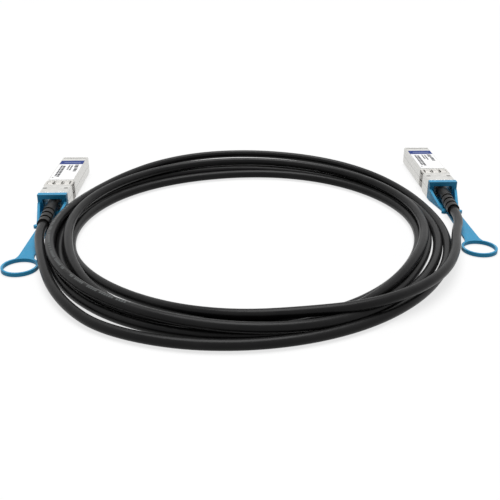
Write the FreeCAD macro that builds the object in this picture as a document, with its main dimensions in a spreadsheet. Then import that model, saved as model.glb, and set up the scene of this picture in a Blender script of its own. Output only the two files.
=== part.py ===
import FreeCAD, Part
import math
import os
import Sketcher

# A direct attach network cable: one coiled cable with a plug module on each end.
# Each module is drawn once in its own frame and placed twice, as end a and end b.
# In a module's frame +Y is the way the plug goes in, Y = 0 is the rear of the metal body
# and Z = 0 the table.

doc = FreeCAD.newDocument("direct_attach_cable")
size = doc.addObject("Spreadsheet::Sheet", "size")

DIMENSIONS = (
    ("body_width", 13.6, "metal body across"),
    ("body_length", 56.5, "metal body, rear face to front"),
    ("body_height", 8.5, "metal body inside the cage"),
    ("nose_drop", 0.7, "how far the rear nose stands below the body"),
    ("nose_length", 9.6, "rear nose that stays outside the cage"),
    ("split_rise", 4.0, "parting line above the body's underside"),
    ("edge_round", 0.5, "rounding along the top edges"),
    ("wall", 1.1, "side wall of the shells"),
    ("floor_wall", 1.2, "floor and roof of the shells"),
    ("fit_gap", 0.05, "clearance between pieces that sit in each other"),
    ("run_gap", 0.1, "clearance around pieces that slide"),
    ("rear_block", 10.4, "depth of the solid rear end of the shells"),
    ("card_thickness", 1.0, "paddle card"),
    ("card_rise", 2.6, "underside of the card above the body's underside"),
    ("card_rear", 23.6, "rear edge of the card"),
    ("card_recess", 1.0, "front edge of the card behind the body's front"),
    ("tongue_length", 8.0, "front tongue of the card"),
    ("tongue_width", 9.4, "front tongue of the card across"),
    ("ledge_width", 0.95, "ledges under the card's long edges"),
    ("pad_pitch", 0.8, "contact pads, centre to centre"),
    ("pad_width", 0.55, "contact pad across"),
    ("pad_length", 2.6, "contact pad along"),
    ("pad_thickness", 0.05, "contact pad"),
    ("chip_width", 4.4, "memory chip body across"),
    ("chip_length", 3.0, "memory chip body along"),
    ("chip_height", 1.0, "memory chip body"),
    ("chip_place", 33.0, "memory chip centre from the rear"),
    ("capacitor_length", 1.0, "chip capacitor along"),
    ("capacitor_width", 0.5, "chip capacitor across"),
    ("capacitor_place", 42.0, "chip capacitors from the rear"),
    ("capacitor_pitch", 1.6, "chip capacitors, centre to centre"),
    ("cable_rise", 4.2, "cable axis above the table at the module"),
    ("cable_diameter", 4.0, "cable over its jacket"),
    ("cable_bend", 36.0, "widest bend of the cable's free ends"),
    ("cable_inside", 8.2, "cable end inside the module"),
    ("pair_diameter", 1.4, "one wrapped pair of conductors"),
    ("pair_pitch", 1.8, "pairs, centre to centre"),
    ("strand_pitch", 0.7, "soldered ends of one pair, centre to centre"),
    ("strand_width", 0.4, "soldered end of a conductor across"),
    ("strand_height", 0.3, "soldered end of a conductor"),
    ("strand_length", 1.8, "soldered end of a conductor along"),
    ("wire_on_card", 3.0, "insulation that lies on the card"),
    ("ferrule_diameter", 4.9, "crimp ferrule"),
    ("ferrule_length", 5.4, "crimp ferrule"),
    ("boot_sleeve", 5.2, "boot inside the tab's frame"),
    ("boot_body", 5.8, "boot behind the tab's frame"),
    ("boot_end", 5.6, "boot at its end"),
    ("boot_lean", 1.4, "how far the boot's end leans towards the coil"),
    ("boot_neck", 4.6, "boot in the rear wall"),
    ("boot_flange", 5.1, "boot flange inside the rear wall"),
    ("boot_length", 28.0, "boot behind the metal body"),
    ("boot_plain", 13.6, "start of the boot's ribs"),
    ("sleeve_margin", 0.6, "boot inside the tab's frame, beyond the pulled frame"),
    ("rib_groove", 1.7, "groove between the boot's ribs"),
    ("rib_depth", 0.55, "depth of those grooves"),
    ("rear_wall", 0.9, "rear wall that holds the boot's flange"),
    ("flange_length", 1.2, "boot flange"),
    ("collar_rear", 11.0, "rear edge of the ground collar"),
    ("collar_length", 6.2, "ground collar"),
    ("collar_sheet", 0.2, "sheet of the ground collar"),
    ("finger_rise", 0.45, "how far the fingers bow out"),
    ("finger_width", 2.6, "one finger"),
    ("finger_pitch", 3.9, "fingers on the top, centre to centre"),
    ("side_finger", 2.0, "one finger on the side"),
    ("slot_width", 0.5, "slits beside the fingers"),
    ("label_width", 12.2, "label across"),
    ("label_length", 31.5, "label"),
    ("label_rear", 18.5, "rear edge of the label"),
    ("label_thickness", 0.1, "label"),
    ("lip_groove", 0.4, "groove across the top near the front"),
    ("lip_place", 1.6, "that groove from the front"),
    ("boss_place", 21.5, "latch boss from the rear"),
    ("boss_width", 2.6, "latch boss across"),
    ("boss_length", 2.6, "latch boss along"),
    ("screw_across", 4.9, "shell screws from the middle"),
    ("screw_place", 20.5, "shell screws from the rear"),
    ("screw_head", 2.4, "screw head"),
    ("screw_head_height", 0.8, "screw head"),
    ("screw_shank", 1.4, "screw shank"),
    ("screw_reach", 2.4, "screw in the upper shell"),
    ("pillar_width", 3.0, "screw pillar"),
    ("slide_sheet", 0.5, "sheet of the latch slide"),
    ("slide_width", 6.6, "latch slide across"),
    ("slide_front", 24.0, "front tips of the latch slide"),
    ("slide_slot", 3.2, "gap between the two prongs"),
    ("slide_ear", 5.3, "outer edge of the spring ears from the middle"),
    ("ear_place", 8.2, "spring face of the ears"),
    ("ear_height", 2.4, "ears above the slide's underside"),
    ("slide_anchor", 5.7, "cross bar held in the tab, from the middle"),
    ("travel", 2.3, "pull of the tab"),
    ("spring_length", 6.0, "return spring at rest"),
    ("spring_width", 1.5, "return spring over its folds"),
    ("spring_strip", 0.3, "strip of the return spring"),
    ("spring_height", 1.8, "strip of the return spring, upright"),
    ("spring_across", 4.4, "springs from the middle"),
    ("tab_gap", 0.2, "gap between body and tab at rest"),
    ("frame_depth", 3.0, "frame of the tab along"),
    ("frame_leg", 2.2, "legs of the frame across"),
    ("frame_bar", 2.2, "top bar of the frame"),
    ("strap_thickness", 1.0, "strap of the tab"),
    ("strap_half", 2.7, "half the strap's width behind the shoulders"),
    ("strap_end_half", 3.3, "half the strap's width at the ring"),
    ("shoulder_place", 21.5, "shoulders of the tab behind the body"),
    ("shoulder_half", 3.7, "shoulder centres from the middle"),
    ("shoulder_diameter", 2.4, "shoulders of the tab"),
    ("shoulder_height", 1.3, "shoulders of the tab"),
    ("cheek_height", 5.6, "sloping cheeks at the frame"),
    ("cheek_wall", 1.2, "sloping cheeks of the tab"),
    ("tab_length", 72.0, "tab from the body's rear to its far end"),
    ("ring_diameter", 14.8, "finger ring"),
    ("ring_band", 1.4, "band of the finger ring"),
    ("ring_thickness", 1.6, "finger ring"),
    ("end_a_beside", 5.5, "end a, middle of the module from the coil's outline"),
    ("end_a_along", -1.5, "end a, rear face of the module"),
    ("end_a_turn", 1.3, "end a, turn about the vertical"),
    ("end_b_beside", 8.8, "end b, middle of the module from the coil's outline"),
    ("end_b_along", 16.9, "end b, rear face of the module"),
    ("end_b_turn", 1.3, "end b, turn about the vertical"),
    ("eye_across", 71.5, "half the coil's eye across"),
    ("eye_stretch", 3.5, "how much longer the eye is along, on each side"),
    ("eye_middle_across", -3.7, "middle of the coil's eye"),
    ("eye_middle_along", -30.2, "middle of the coil's eye"),
    ("band_across", 15.7, "mean width of the coil's band at the sides"),
    ("band_along", 24.0, "mean width of the coil's band at front and back"),
    ("coil_shift_across", 1.7, "middle of the coil's outline from that of its eye"),
    ("coil_shift_along", 0.2, "middle of the coil's outline from that of its eye"),
    ("coil_height", 9.0, "coil, about two layers of cable"),
    ("coil_bevel", 2.6, "bevel along the coil's upper edges"),
)

for row, (alias, value, note) in enumerate(DIMENSIONS, start=1):
    size.set("A%d" % row, note)
    size.set("B%d" % row, str(value))
    size.setAlias("B%d" % row, alias)
doc.recompute()

# Heights and places that follow from the sizes
UNDERSIDE = "size.nose_drop"
TOP = "(size.nose_drop + size.body_height)"
SPLIT = "(size.nose_drop + size.split_rise)"
HALF = "(size.body_width / 2)"
INNER = "(size.body_width / 2 - size.wall)"
FLOOR = "(size.nose_drop + size.floor_wall)"
ROOF = "(size.nose_drop + size.body_height - size.floor_wall)"
CARD_LOW = "(size.nose_drop + size.card_rise)"
CARD_TOP = "(size.nose_drop + size.card_rise + size.card_thickness)"
CARD_FRONT = "(size.body_length - size.card_recess)"
CARD_HALF = "(size.body_width / 2 - size.wall - size.run_gap)"
MOUTH_REAR = "(size.body_length - size.card_recess - size.tongue_length)"
COLLAR_SEAT = "(size.collar_sheet + size.fit_gap)"
COLLAR_FRONT = "(size.collar_rear + size.collar_length)"
COLLAR_ALONG = ("size.collar_rear - size.fit_gap", COLLAR_FRONT + " + size.fit_gap")
SLIDE_LOW = "size.strap_thickness"
SLIDE_TOP = "(size.strap_thickness + size.slide_sheet)"
FRAME_REAR = "(-size.tab_gap - size.frame_depth)"
RING_MIDDLE = "(size.ring_diameter / 2 - size.tab_length)"
EYE_ALONG = "(size.eye_across + size.eye_stretch)"
COIL_ACROSS = "(size.eye_across + size.band_across)"
COIL_ALONG = "(size.eye_across + size.eye_stretch + size.band_along)"
COIL_MIDDLE_ACROSS = "(size.eye_middle_across + size.coil_shift_across)"
COIL_MIDDLE_ALONG = "(size.eye_middle_along + size.coil_shift_along)"
END_ACROSS = {
    "a": "%s - %s - size.end_a_beside" % (COIL_MIDDLE_ACROSS, COIL_ACROSS),
    "b": "%s + %s + size.end_b_beside" % (COIL_MIDDLE_ACROSS, COIL_ACROSS),
}


def plane_of(body, role):
    """Find one of the body's own origin planes."""
    for feature in body.Origin.OriginFeatures:
        if feature.Role == role:
            return feature
    raise RuntimeError("no plane " + role)


def start_sketch(body, name, lift, role="XY_Plane"):
    """Start a sketch on an origin plane, lifted along the plane's normal."""
    sketch = body.newObject("Sketcher::SketchObject", name)
    sketch.AttachmentSupport = [(plane_of(body, role), "")]
    sketch.MapMode = "FlatFace"
    sketch.setExpression("AttachmentOffset.Base.z", lift)
    return sketch


def tie(sketch, kind, place, formula):
    """Bind one sketch measure to a formula of the sheet."""
    value = float(sketch.evalExpression(formula))
    index = sketch.addConstraint(Sketcher.Constraint(kind, *place, value))
    sketch.renameConstraint(index, "measure_%d" % index)
    sketch.setExpression("Constraints.measure_%d" % index, formula)


def outline(sketch, corners):
    """Draw a closed outline through corners, each a pair of formulas."""
    spots = []
    for across, along in corners:
        spots.append(FreeCAD.Vector(sketch.evalExpression(across), sketch.evalExpression(along), 0))
    first = sketch.GeometryCount
    count = len(spots)
    for index in range(count):
        sketch.addGeometry(Part.LineSegment(spots[index], spots[(index + 1) % count]))
    for index in range(count):
        following = first + (index + 1) % count
        sketch.addConstraint(Sketcher.Constraint("Coincident", first + index, 2, following, 1))
    for index, (across, along) in enumerate(corners):
        tie(sketch, "DistanceX", (first + index, 1), across)
        tie(sketch, "DistanceY", (first + index, 1), along)


def disc(sketch, across, along, diameter):
    """Draw a circle at a place given by formulas."""
    middle = FreeCAD.Vector(sketch.evalExpression(across), sketch.evalExpression(along), 0)
    radius = sketch.evalExpression(diameter) / 2
    index = sketch.addGeometry(Part.Circle(middle, FreeCAD.Vector(0, 0, 1), radius))
    tie(sketch, "DistanceX", (index, 3), across)
    tie(sketch, "DistanceY", (index, 3), along)
    tie(sketch, "Diameter", (index,), diameter)


def pad(body, name, sketch, height):
    """Raise a sketch along its normal."""
    feature = body.newObject("PartDesign::Pad", name)
    feature.Profile = sketch
    feature.setExpression("Length", height)
    return feature


def pocket(body, name, sketch, depth):
    """Cut a sketch into the body along its normal."""
    feature = body.newObject("PartDesign::Pocket", name)
    feature.Profile = sketch
    feature.Reversed = True
    feature.setExpression("Length", depth)
    return feature


def block(body, name, across, along, upright, make=pad):
    """Add or cut a box between pairs of formulas for X, Y and Z."""
    sketch = start_sketch(body, name + "_outline", upright[0])
    left, right = across
    rear, front = along
    outline(sketch, ((left, rear), (right, rear), (right, front), (left, front)))
    return make(body, name, sketch, "%s - (%s)" % (upright[1], upright[0]))


def wide_block(body, name, half, along, upright, make=pad):
    """Add or cut a box that is even about the module's middle."""
    return block(body, name, ("-(%s)" % half, half), along, upright, make)


def post(body, name, spots, diameter, upright, make=pad):
    """Add or cut upright cylinders at several spots."""
    sketch = start_sketch(body, name + "_outline", upright[0])
    for across, along in spots:
        disc(sketch, across, along, diameter)
    return make(body, name, sketch, "%s - (%s)" % (upright[1], upright[0]))


def turned(body, name, kind, corners):
    """Turn a half profile about the cable's axis; X is the radius and Y the place along."""
    sketch = start_sketch(body, name + "_outline", "size.cable_rise")
    outline(sketch, corners)
    feature = body.newObject("PartDesign::" + kind, name)
    feature.Profile = sketch
    feature.ReferenceAxis = (sketch, ["V_Axis"])
    feature.Angle = 360
    return feature


def side_profile(body, name, corners, left, width, make=pad):
    """Add or cut a profile drawn along and up, from one X over a width."""
    sketch = start_sketch(body, name + "_outline", left, "YZ_Plane")
    outline(sketch, corners)
    return make(body, name, sketch, width)


def new_body(name):
    """Start a body for one piece."""
    return doc.addObject("PartDesign::Body", name)


def settle(body):
    """Work the body out and check that it is one good solid."""
    doc.recompute()
    if body.Shape.isNull() or not body.Shape.isValid():
        raise RuntimeError("bad shape " + body.Name)
    return body


def mirrored(name, source):
    """Repeat a piece on the other side of the module's middle."""
    twin = doc.addObject("Part::Mirroring", name)
    twin.Source = source
    twin.Normal = FreeCAD.Vector(1, 0, 0)
    return twin


def group(name, members):
    """Keep equal small pieces together as one node."""
    holder = doc.addObject("Part::Compound", name)
    holder.Links = members
    return holder


def small_box(name, across, along, upright):
    """A box between pairs of formulas for X, Y and Z."""
    box = doc.addObject("Part::Box", name)
    sides = (("Length", "x", across), ("Width", "y", along), ("Height", "z", upright))
    for prop, axis, (low, high) in sides:
        box.setExpression(prop, "%s - (%s)" % (high, low))
        box.setExpression("Placement.Base." + axis, low)
    return box


def facing(axis, angle):
    """A placement at the origin, turned about an axis."""
    return FreeCAD.Placement(FreeCAD.Vector(0, 0, 0), FreeCAD.Rotation(FreeCAD.Vector(*axis), angle))


def rod(name, across, rear, front, rise, diameter):
    """A round rod along the module, between two places."""
    bar = doc.addObject("Part::Cylinder", name)
    bar.setExpression("Radius", "%s / 2" % diameter)
    bar.setExpression("Height", "%s - (%s)" % (front, rear))
    bar.Placement = facing((1, 0, 0), -90)
    bar.setExpression("Placement.Base.x", across)
    bar.setExpression("Placement.Base.y", rear)
    bar.setExpression("Placement.Base.z", rise)
    return bar


def hoop(name, place, middle, radius):
    """Round section across the cable, so far behind the body."""
    ring = doc.addObject("Part::Circle", name)
    ring.Placement = facing((1, 0, 0), 90)
    ring.setExpression("Radius", radius)
    ring.setExpression("Placement.Base.x", middle)
    ring.setExpression("Placement.Base.y", "-(%s)" % place)
    ring.setExpression("Placement.Base.z", "size.cable_rise")
    return ring


def skin(name, sections):
    """Solid with straight sides through a row of sections."""
    solid = doc.addObject("Part::Loft", name)
    solid.Sections = sections
    solid.Solid = True
    solid.Ruled = True
    return solid


def make_lower_shell(end):
    """Bottom half: tray with ledges for the card, a tunnel for the slide and the latch boss."""
    body = new_body("lower_shell_" + end)
    wide_block(body, "tray", HALF, ("0", "size.body_length"), (UNDERSIDE, SPLIT))
    wide_block(body, "nose", HALF, ("0", "size.nose_length"), ("0", SPLIT))
    boss_rear = "(size.boss_place - size.boss_length / 2)"
    boss_front = "(size.boss_place + size.boss_length / 2)"
    boss = (
        (boss_rear, FLOOR),
        (boss_rear, "0.02"),
        (boss_rear + " + 0.5", "0.02"),
        (boss_front, UNDERSIDE),
        (boss_front, FLOOR),
    )
    side_profile(body, "latch_boss", boss, "-size.boss_width / 2", "size.boss_width")
    bay = ("size.rear_block", "size.body_length + 1")
    over_split = SPLIT + " + 1"
    wide_block(body, "card_bay", INNER, bay, (CARD_LOW, over_split), pocket)
    narrow = INNER + " - size.ledge_width"
    wide_block(body, "wire_bay", narrow, bay, (FLOOR, over_split), pocket)
    wide_block(body, "mouth", INNER, (MOUTH_REAR, "size.body_length + 1"), (FLOOR, over_split), pocket)
    turned(body, "boot_seat", "Groove", boot_seat())
    spots = (("-size.screw_across", "size.screw_place"), ("size.screw_across", "size.screw_place"))
    pillars(body, (FLOOR + " - 0.2", SPLIT))
    under = UNDERSIDE + " - 1"
    hole = "size.screw_shank + 2 * size.run_gap"
    post(body, "screw_holes", spots, hole, (under, over_split), pocket)
    head_room = "size.screw_head + 2 * size.run_gap"
    head_seat = "(size.nose_drop + size.run_gap + size.screw_head_height)"
    post(body, "head_seats", spots, head_room, (under, head_seat), pocket)
    tunnel = "(size.slide_width / 2 + size.run_gap)"
    tunnel_height = (SLIDE_LOW + " - size.run_gap", SLIDE_TOP + " + size.run_gap")
    wide_block(body, "slide_tunnel", tunnel, ("-1", "size.nose_length"), tunnel_height, pocket)
    inside = "(size.slide_slot / 2 - size.run_gap)"
    reach = ("size.nose_length - 0.01", "size.slide_front + size.run_gap")
    recess = (under, SLIDE_TOP + " + size.run_gap")
    block(body, "prong_recess_left", ("-" + tunnel, "-" + inside), reach, recess, pocket)
    block(body, "prong_recess_right", (inside, tunnel), reach, recess, pocket)
    middle = ("size.nose_length - 0.01", "size.nose_length + 1.2")
    wide_block(body, "prong_root_recess", tunnel, middle, recess, pocket)
    spring_rear = "(size.ear_place - size.spring_length)"
    ear_front = "(size.ear_place + size.slide_sheet + size.run_gap)"
    spring_top = "(size.strap_thickness + size.ear_height + size.run_gap)"
    spring_room = (SLIDE_LOW + " - size.run_gap", spring_top)
    outer = "(size.slide_ear + size.run_gap)"
    spring_along = (spring_rear, ear_front)
    left_room = ("-" + outer, "-" + tunnel + " + 0.3")
    block(body, "spring_room_left", left_room, spring_along, spring_room, pocket)
    block(body, "spring_room_right", (tunnel + " - 0.3", outer), spring_along, spring_room, pocket)
    cut_collar_sides(body, TOP)
    below = (under, "%s + %s" % (UNDERSIDE, COLLAR_SEAT))
    wide_block(body, "collar_seat_below", HALF + " + 1", COLLAR_ALONG, below, pocket)
    return settle(body)


def cut_collar_sides(body, top):
    """Cut the seat of the ground collar into both sides of a shell, up to a height."""
    left = ("-%s - 1" % HALF, "-%s + %s" % (HALF, COLLAR_SEAT))
    right = ("%s - %s" % (HALF, COLLAR_SEAT), "%s + 1" % HALF)
    block(body, "collar_seat_left", left, COLLAR_ALONG, ("0", top), pocket)
    block(body, "collar_seat_right", right, COLLAR_ALONG, ("0", top), pocket)


def boot_seat():
    """Half profile of the bore in the rear of both shells: neck, flange groove, ferrule room."""
    neck = "(size.boot_neck / 2)"
    flange = "(size.boot_flange / 2 + size.fit_gap)"
    chamber = "(size.ferrule_diameter / 2 + size.fit_gap)"
    groove_front = "(size.rear_wall + size.flange_length)"
    return (
        ("0", "-1"),
        (neck, "-1"),
        (neck, "size.rear_wall"),
        (flange, "size.rear_wall"),
        (flange, groove_front),
        (chamber, groove_front),
        (chamber, "size.rear_block + 0.5"),
        ("0", "size.rear_block + 0.5"),
    )


def pillars(body, upright):
    """Two square pillars along the side walls that take the screws."""
    half = "(size.pillar_width / 2)"
    along = ("size.screw_place - " + half, "size.screw_place + " + half)
    near = "(size.screw_across - %s)" % half
    wall = "(%s + 0.1)" % INNER
    block(body, "pillar_left", ("-" + wall, "-" + near), along, upright)
    block(body, "pillar_right", (near, wall), along, upright)


def make_upper_shell(end):
    """Top half: roofed cover with rounded long edges and a groove behind its front lip."""
    body = new_body("upper_shell_" + end)
    profile = start_sketch(body, "cover_outline", "-size.body_length", "XZ_Plane")
    shoulder = HALF + " - size.edge_round"
    bevel = TOP + " - size.edge_round"
    corners = (
        ("-" + HALF, SPLIT),
        (HALF, SPLIT),
        (HALF, bevel),
        (shoulder, TOP),
        ("-(%s)" % shoulder, TOP),
        ("-" + HALF, bevel),
    )
    outline(profile, corners)
    pad(body, "cover", profile, "size.body_length")
    below = SPLIT + " - 1"
    wide_block(body, "card_bay", INNER, ("size.rear_block", "size.body_length + 1"), (below, ROOF), pocket)
    turned(body, "boot_seat", "Groove", boot_seat())
    spots = (("-size.screw_across", "size.screw_place"), ("size.screw_across", "size.screw_place"))
    pillars(body, (SPLIT, ROOF + " + 0.2"))
    post(body, "screw_holes", spots, "size.screw_shank", (below, SPLIT + " + size.screw_reach"), pocket)
    groove_front = "(size.body_length - size.lip_place)"
    groove = (groove_front + " - size.lip_groove", groove_front)
    wide_block(body, "lip_groove", HALF + " - 0.8", groove, (TOP + " - 0.35", TOP + " + 1"), pocket)
    over_top = TOP + " + 1"
    cut_collar_sides(body, over_top)
    above = ("%s - %s" % (TOP, COLLAR_SEAT), over_top)
    wide_block(body, "collar_seat_above", HALF + " + 1", COLLAR_ALONG, above, pocket)
    return settle(body)


def finger(low, rise):
    """Side view of one bowed finger: a strip that leaves the collar and comes back to it."""
    start = "(size.collar_rear + 0.5)"
    stop = "(size.collar_rear + size.collar_length - 0.5)"
    lift = "%s * size.finger_rise" % rise
    sheet = "%s * size.collar_sheet" % rise
    return (
        (start, low),
        (start + " + 1.5", "%s + %s" % (low, lift)),
        (stop + " - 1.5", "%s + %s" % (low, lift)),
        (stop, low),
        (stop, "%s - %s" % (low, sheet)),
        (stop + " - 0.4", "%s - %s" % (low, sheet)),
        (stop + " - 1.6", "%s + %s - %s" % (low, lift, sheet)),
        (start + " + 1.6", "%s + %s - %s" % (low, lift, sheet)),
        (start + " + 0.4", "%s - %s" % (low, sheet)),
        (start, "%s - %s" % (low, sheet)),
    )


def make_emi_collar(end):
    """Thin steel collar around both shells with slits between bowed ground fingers."""
    body = new_body("emi_collar_" + end)
    length = ("size.collar_rear", COLLAR_FRONT)
    outer_low = "(size.nose_drop + size.fit_gap)"
    outer_top = "(%s - size.fit_gap)" % TOP
    outer_half = "(%s - size.fit_gap)" % HALF
    wide_block(body, "band", outer_half, length, (outer_low, outer_top))
    inner = (outer_low + " + size.collar_sheet", outer_top + " - size.collar_sheet")
    through = ("size.collar_rear - 1", COLLAR_FRONT + " + 1")
    wide_block(body, "opening", outer_half + " - size.collar_sheet", through, inner, pocket)
    window = ("size.collar_rear + 0.9", COLLAR_FRONT + " - 0.9")
    half_finger = "(size.finger_width / 2 + size.slot_width)"
    for name, middle in (("left", "-size.finger_pitch"), ("mid", "0"), ("right", "size.finger_pitch")):
        edges = ("%s - %s" % (middle, half_finger), "%s + %s" % (middle, half_finger))
        block(body, "top_slit_" + name, edges, window, (outer_top + " - 1", outer_top + " + 1"), pocket)
    for name, middle in (("left", "-size.finger_pitch"), ("right", "size.finger_pitch")):
        edges = ("%s - %s" % (middle, half_finger), "%s + %s" % (middle, half_finger))
        block(body, "under_slit_" + name, edges, window, (outer_low + " - 1", outer_low + " + 1"), pocket)
    half_side = "(size.side_finger / 2 + size.slot_width)"
    middle_height = "(size.nose_drop + size.body_height / 2)"
    side_step = "(size.side_finger / 2 + size.slot_width + 0.3)"
    side_spots = (
        ("low", "%s - %s" % (middle_height, side_step)),
        ("high", "%s + %s" % (middle_height, side_step)),
    )
    for name, height in side_spots:
        edges = ("%s - %s" % (height, half_side), "%s + %s" % (height, half_side))
        wide_block(body, "side_slit_" + name, HALF + " + 1", window, edges, pocket)
    for name, middle in (("left", "-size.finger_pitch"), ("mid", "0"), ("right", "size.finger_pitch")):
        left = middle + " - size.finger_width / 2"
        side_profile(body, "top_finger_" + name, finger(outer_top, "1"), left, "size.finger_width")
    for name, middle in (("left", "-size.finger_pitch"), ("right", "size.finger_pitch")):
        left = middle + " - size.finger_width / 2"
        side_profile(body, "under_finger_" + name, finger(outer_low, "-1"), left, "size.finger_width")
    for name, height in side_spots:
        for side, sign in (("left", "-1"), ("right", "1")):
            label = "side_finger_%s_%s" % (name, side)
            sketch = start_sketch(body, label + "_outline", height + " - size.side_finger / 2")
            strip = finger("%s * %s" % (sign, outer_half), sign)
            outline(sketch, tuple((across, along) for along, across in strip))
            pad(body, label, sketch, "size.side_finger")
    return settle(body)


def make_label(end):
    """Plain label on the flat top."""
    body = new_body("label_" + end)
    length = ("size.label_rear", "size.label_rear + size.label_length")
    wide_block(body, "sheet", "size.label_width / 2", length, (TOP, TOP + " + size.label_thickness"))
    return settle(body)


def make_paddle_card(end):
    """Circuit board that rests on the tray's ledges and narrows to the front tongue."""
    body = new_body("paddle_card_" + end)
    sketch = start_sketch(body, "card_outline", CARD_LOW)
    tongue = "size.tongue_width / 2"
    corners = (
        ("-" + CARD_HALF, "size.card_rear"),
        (CARD_HALF, "size.card_rear"),
        (CARD_HALF, MOUTH_REAR),
        (tongue, MOUTH_REAR),
        (tongue, CARD_FRONT + " - 0.6"),
        (tongue + " - 0.6", CARD_FRONT),
        ("-(%s - 0.6)" % tongue, CARD_FRONT),
        ("-" + tongue, CARD_FRONT + " - 0.6"),
        ("-" + tongue, MOUTH_REAR),
        ("-" + CARD_HALF, MOUTH_REAR),
    )
    outline(sketch, corners)
    pad(body, "card", sketch, "size.card_thickness")
    return settle(body)


def make_edge_contacts(end):
    """Ten gold pads on each face of the card's front tongue."""
    pads = []
    front = CARD_FRONT + " - 0.5"
    faces = (
        ("top", (CARD_TOP, CARD_TOP + " + size.pad_thickness")),
        ("under", (CARD_LOW + " - size.pad_thickness", CARD_LOW)),
    )
    for face, upright in faces:
        for place in range(10):
            middle = "(%.1f * size.pad_pitch)" % (place - 4.5)
            across = (middle + " - size.pad_width / 2", middle + " + size.pad_width / 2")
            along = (front + " - size.pad_length", front)
            pads.append(small_box("contact_%s_%d_%s" % (face, place, end), across, along, upright))
    return group("edge_contacts_" + end, pads)


def make_memory_chip(end):
    """Small memory chip with four legs on each side."""
    body = new_body("memory_chip_" + end)
    half = "(size.chip_width / 2)"
    along = ("size.chip_place - size.chip_length / 2", "size.chip_place + size.chip_length / 2")
    wide_block(body, "case", half, along, (CARD_TOP + " + 0.1", CARD_TOP + " + 0.1 + size.chip_height"))
    for place in range(4):
        middle = "(size.chip_place + %.1f * size.chip_length / 4.6)" % (place - 1.5)
        leg = (middle + " - 0.13", middle + " + 0.13")
        wide_block(body, "legs_%d" % place, half + " + 0.9", leg, (CARD_TOP, CARD_TOP + " + 0.2"))
    return settle(body)


def make_coupling_capacitors(end):
    """Four chip capacitors in a row across the card."""
    parts = []
    for place in range(4):
        middle = "(%.1f * size.capacitor_pitch)" % (place - 1.5)
        across = (middle + " - size.capacitor_width / 2", middle + " + size.capacitor_width / 2")
        along = ("size.capacitor_place", "size.capacitor_place + size.capacitor_length")
        upright = (CARD_TOP, CARD_TOP + " + size.capacitor_width")
        parts.append(small_box("capacitor_%d_%s" % (place, end), across, along, upright))
    return group("coupling_capacitors_" + end, parts)


def make_twinax_pairs(end):
    """Two wrapped pairs of conductors from the cable's end to the card, each with two soldered tips."""
    pairs = []
    rise = "(%s + size.pair_diameter / 2)" % CARD_TOP
    tip_height = (CARD_TOP, CARD_TOP + " + size.strand_height")
    cut_back = "(size.card_rear + size.wire_on_card)"
    tip_along = (cut_back + " - 0.5", cut_back + " + size.strand_length")
    for place in range(2):
        name = "pair_%d_%s" % (place, end)
        middle = "(%.1f * size.pair_pitch)" % (place - 0.5)
        pieces = [rod(name + "_wrap", middle, "size.cable_inside", cut_back, rise, "size.pair_diameter")]
        for side, shift in (("left", "-"), ("right", "+")):
            tip_middle = "%s %s size.strand_pitch / 2" % (middle, shift)
            tip_side = (tip_middle + " - size.strand_width / 2", tip_middle + " + size.strand_width / 2")
            pieces.append(small_box("%s_tip_%s" % (name, side), tip_side, tip_along, tip_height))
        pair = doc.addObject("Part::MultiFuse", name)
        pair.Shapes = pieces
        pairs.append(pair)
    return group("twinax_pairs_" + end, pairs)


def make_crimp_ferrule(end):
    """Crimped ring on the cable, inside the module."""
    body = new_body("crimp_ferrule_" + end)
    rear = "(size.rear_wall + size.flange_length + size.fit_gap)"
    outer = "(size.ferrule_diameter / 2)"
    bore = "(size.cable_diameter / 2)"
    front = rear + " + size.ferrule_length"
    corners = (
        (bore, rear),
        (outer, rear),
        (outer, front),
        (bore, front),
    )
    turned(body, "ring", "Revolution", corners)
    return settle(body)


def lean_at(end, place):
    """How far the boot's middle has moved towards the coil, so far behind the body."""
    sign = "1" if end == "a" else "-1"
    return "%s * size.boot_lean * (%s) / size.boot_length" % (sign, place)


def cable_core(name, end, front, rear):
    """Round cable from inside the module to the boot's end, where it leans with the boot."""
    radius = "size.cable_diameter / 2"
    sections = []
    for index, (place, lean) in enumerate((("-(%s)" % front, "0"), ("0", "0"), (rear, lean_at(end, rear)))):
        sections.append(hoop("%s_section_%d" % (name, index), place, lean, radius))
    return skin(name, sections)


def boot_layer(name, end, front, rear, inset):
    """Round layer of the boot between two places behind the body; layers narrow towards its end."""
    middle = "((%s) + (%s)) / 2" % (front, rear)
    narrowing = "(size.boot_body - size.boot_end) * (%s) / size.boot_length" % middle
    diameter = "(size.boot_body - %s - 2 * %s)" % (narrowing, inset)
    far, near = "-(%s)" % rear, "-(%s)" % front
    return rod("%s_%s" % (name, end), lean_at(end, middle), far, near, "size.cable_rise", diameter)


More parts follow.
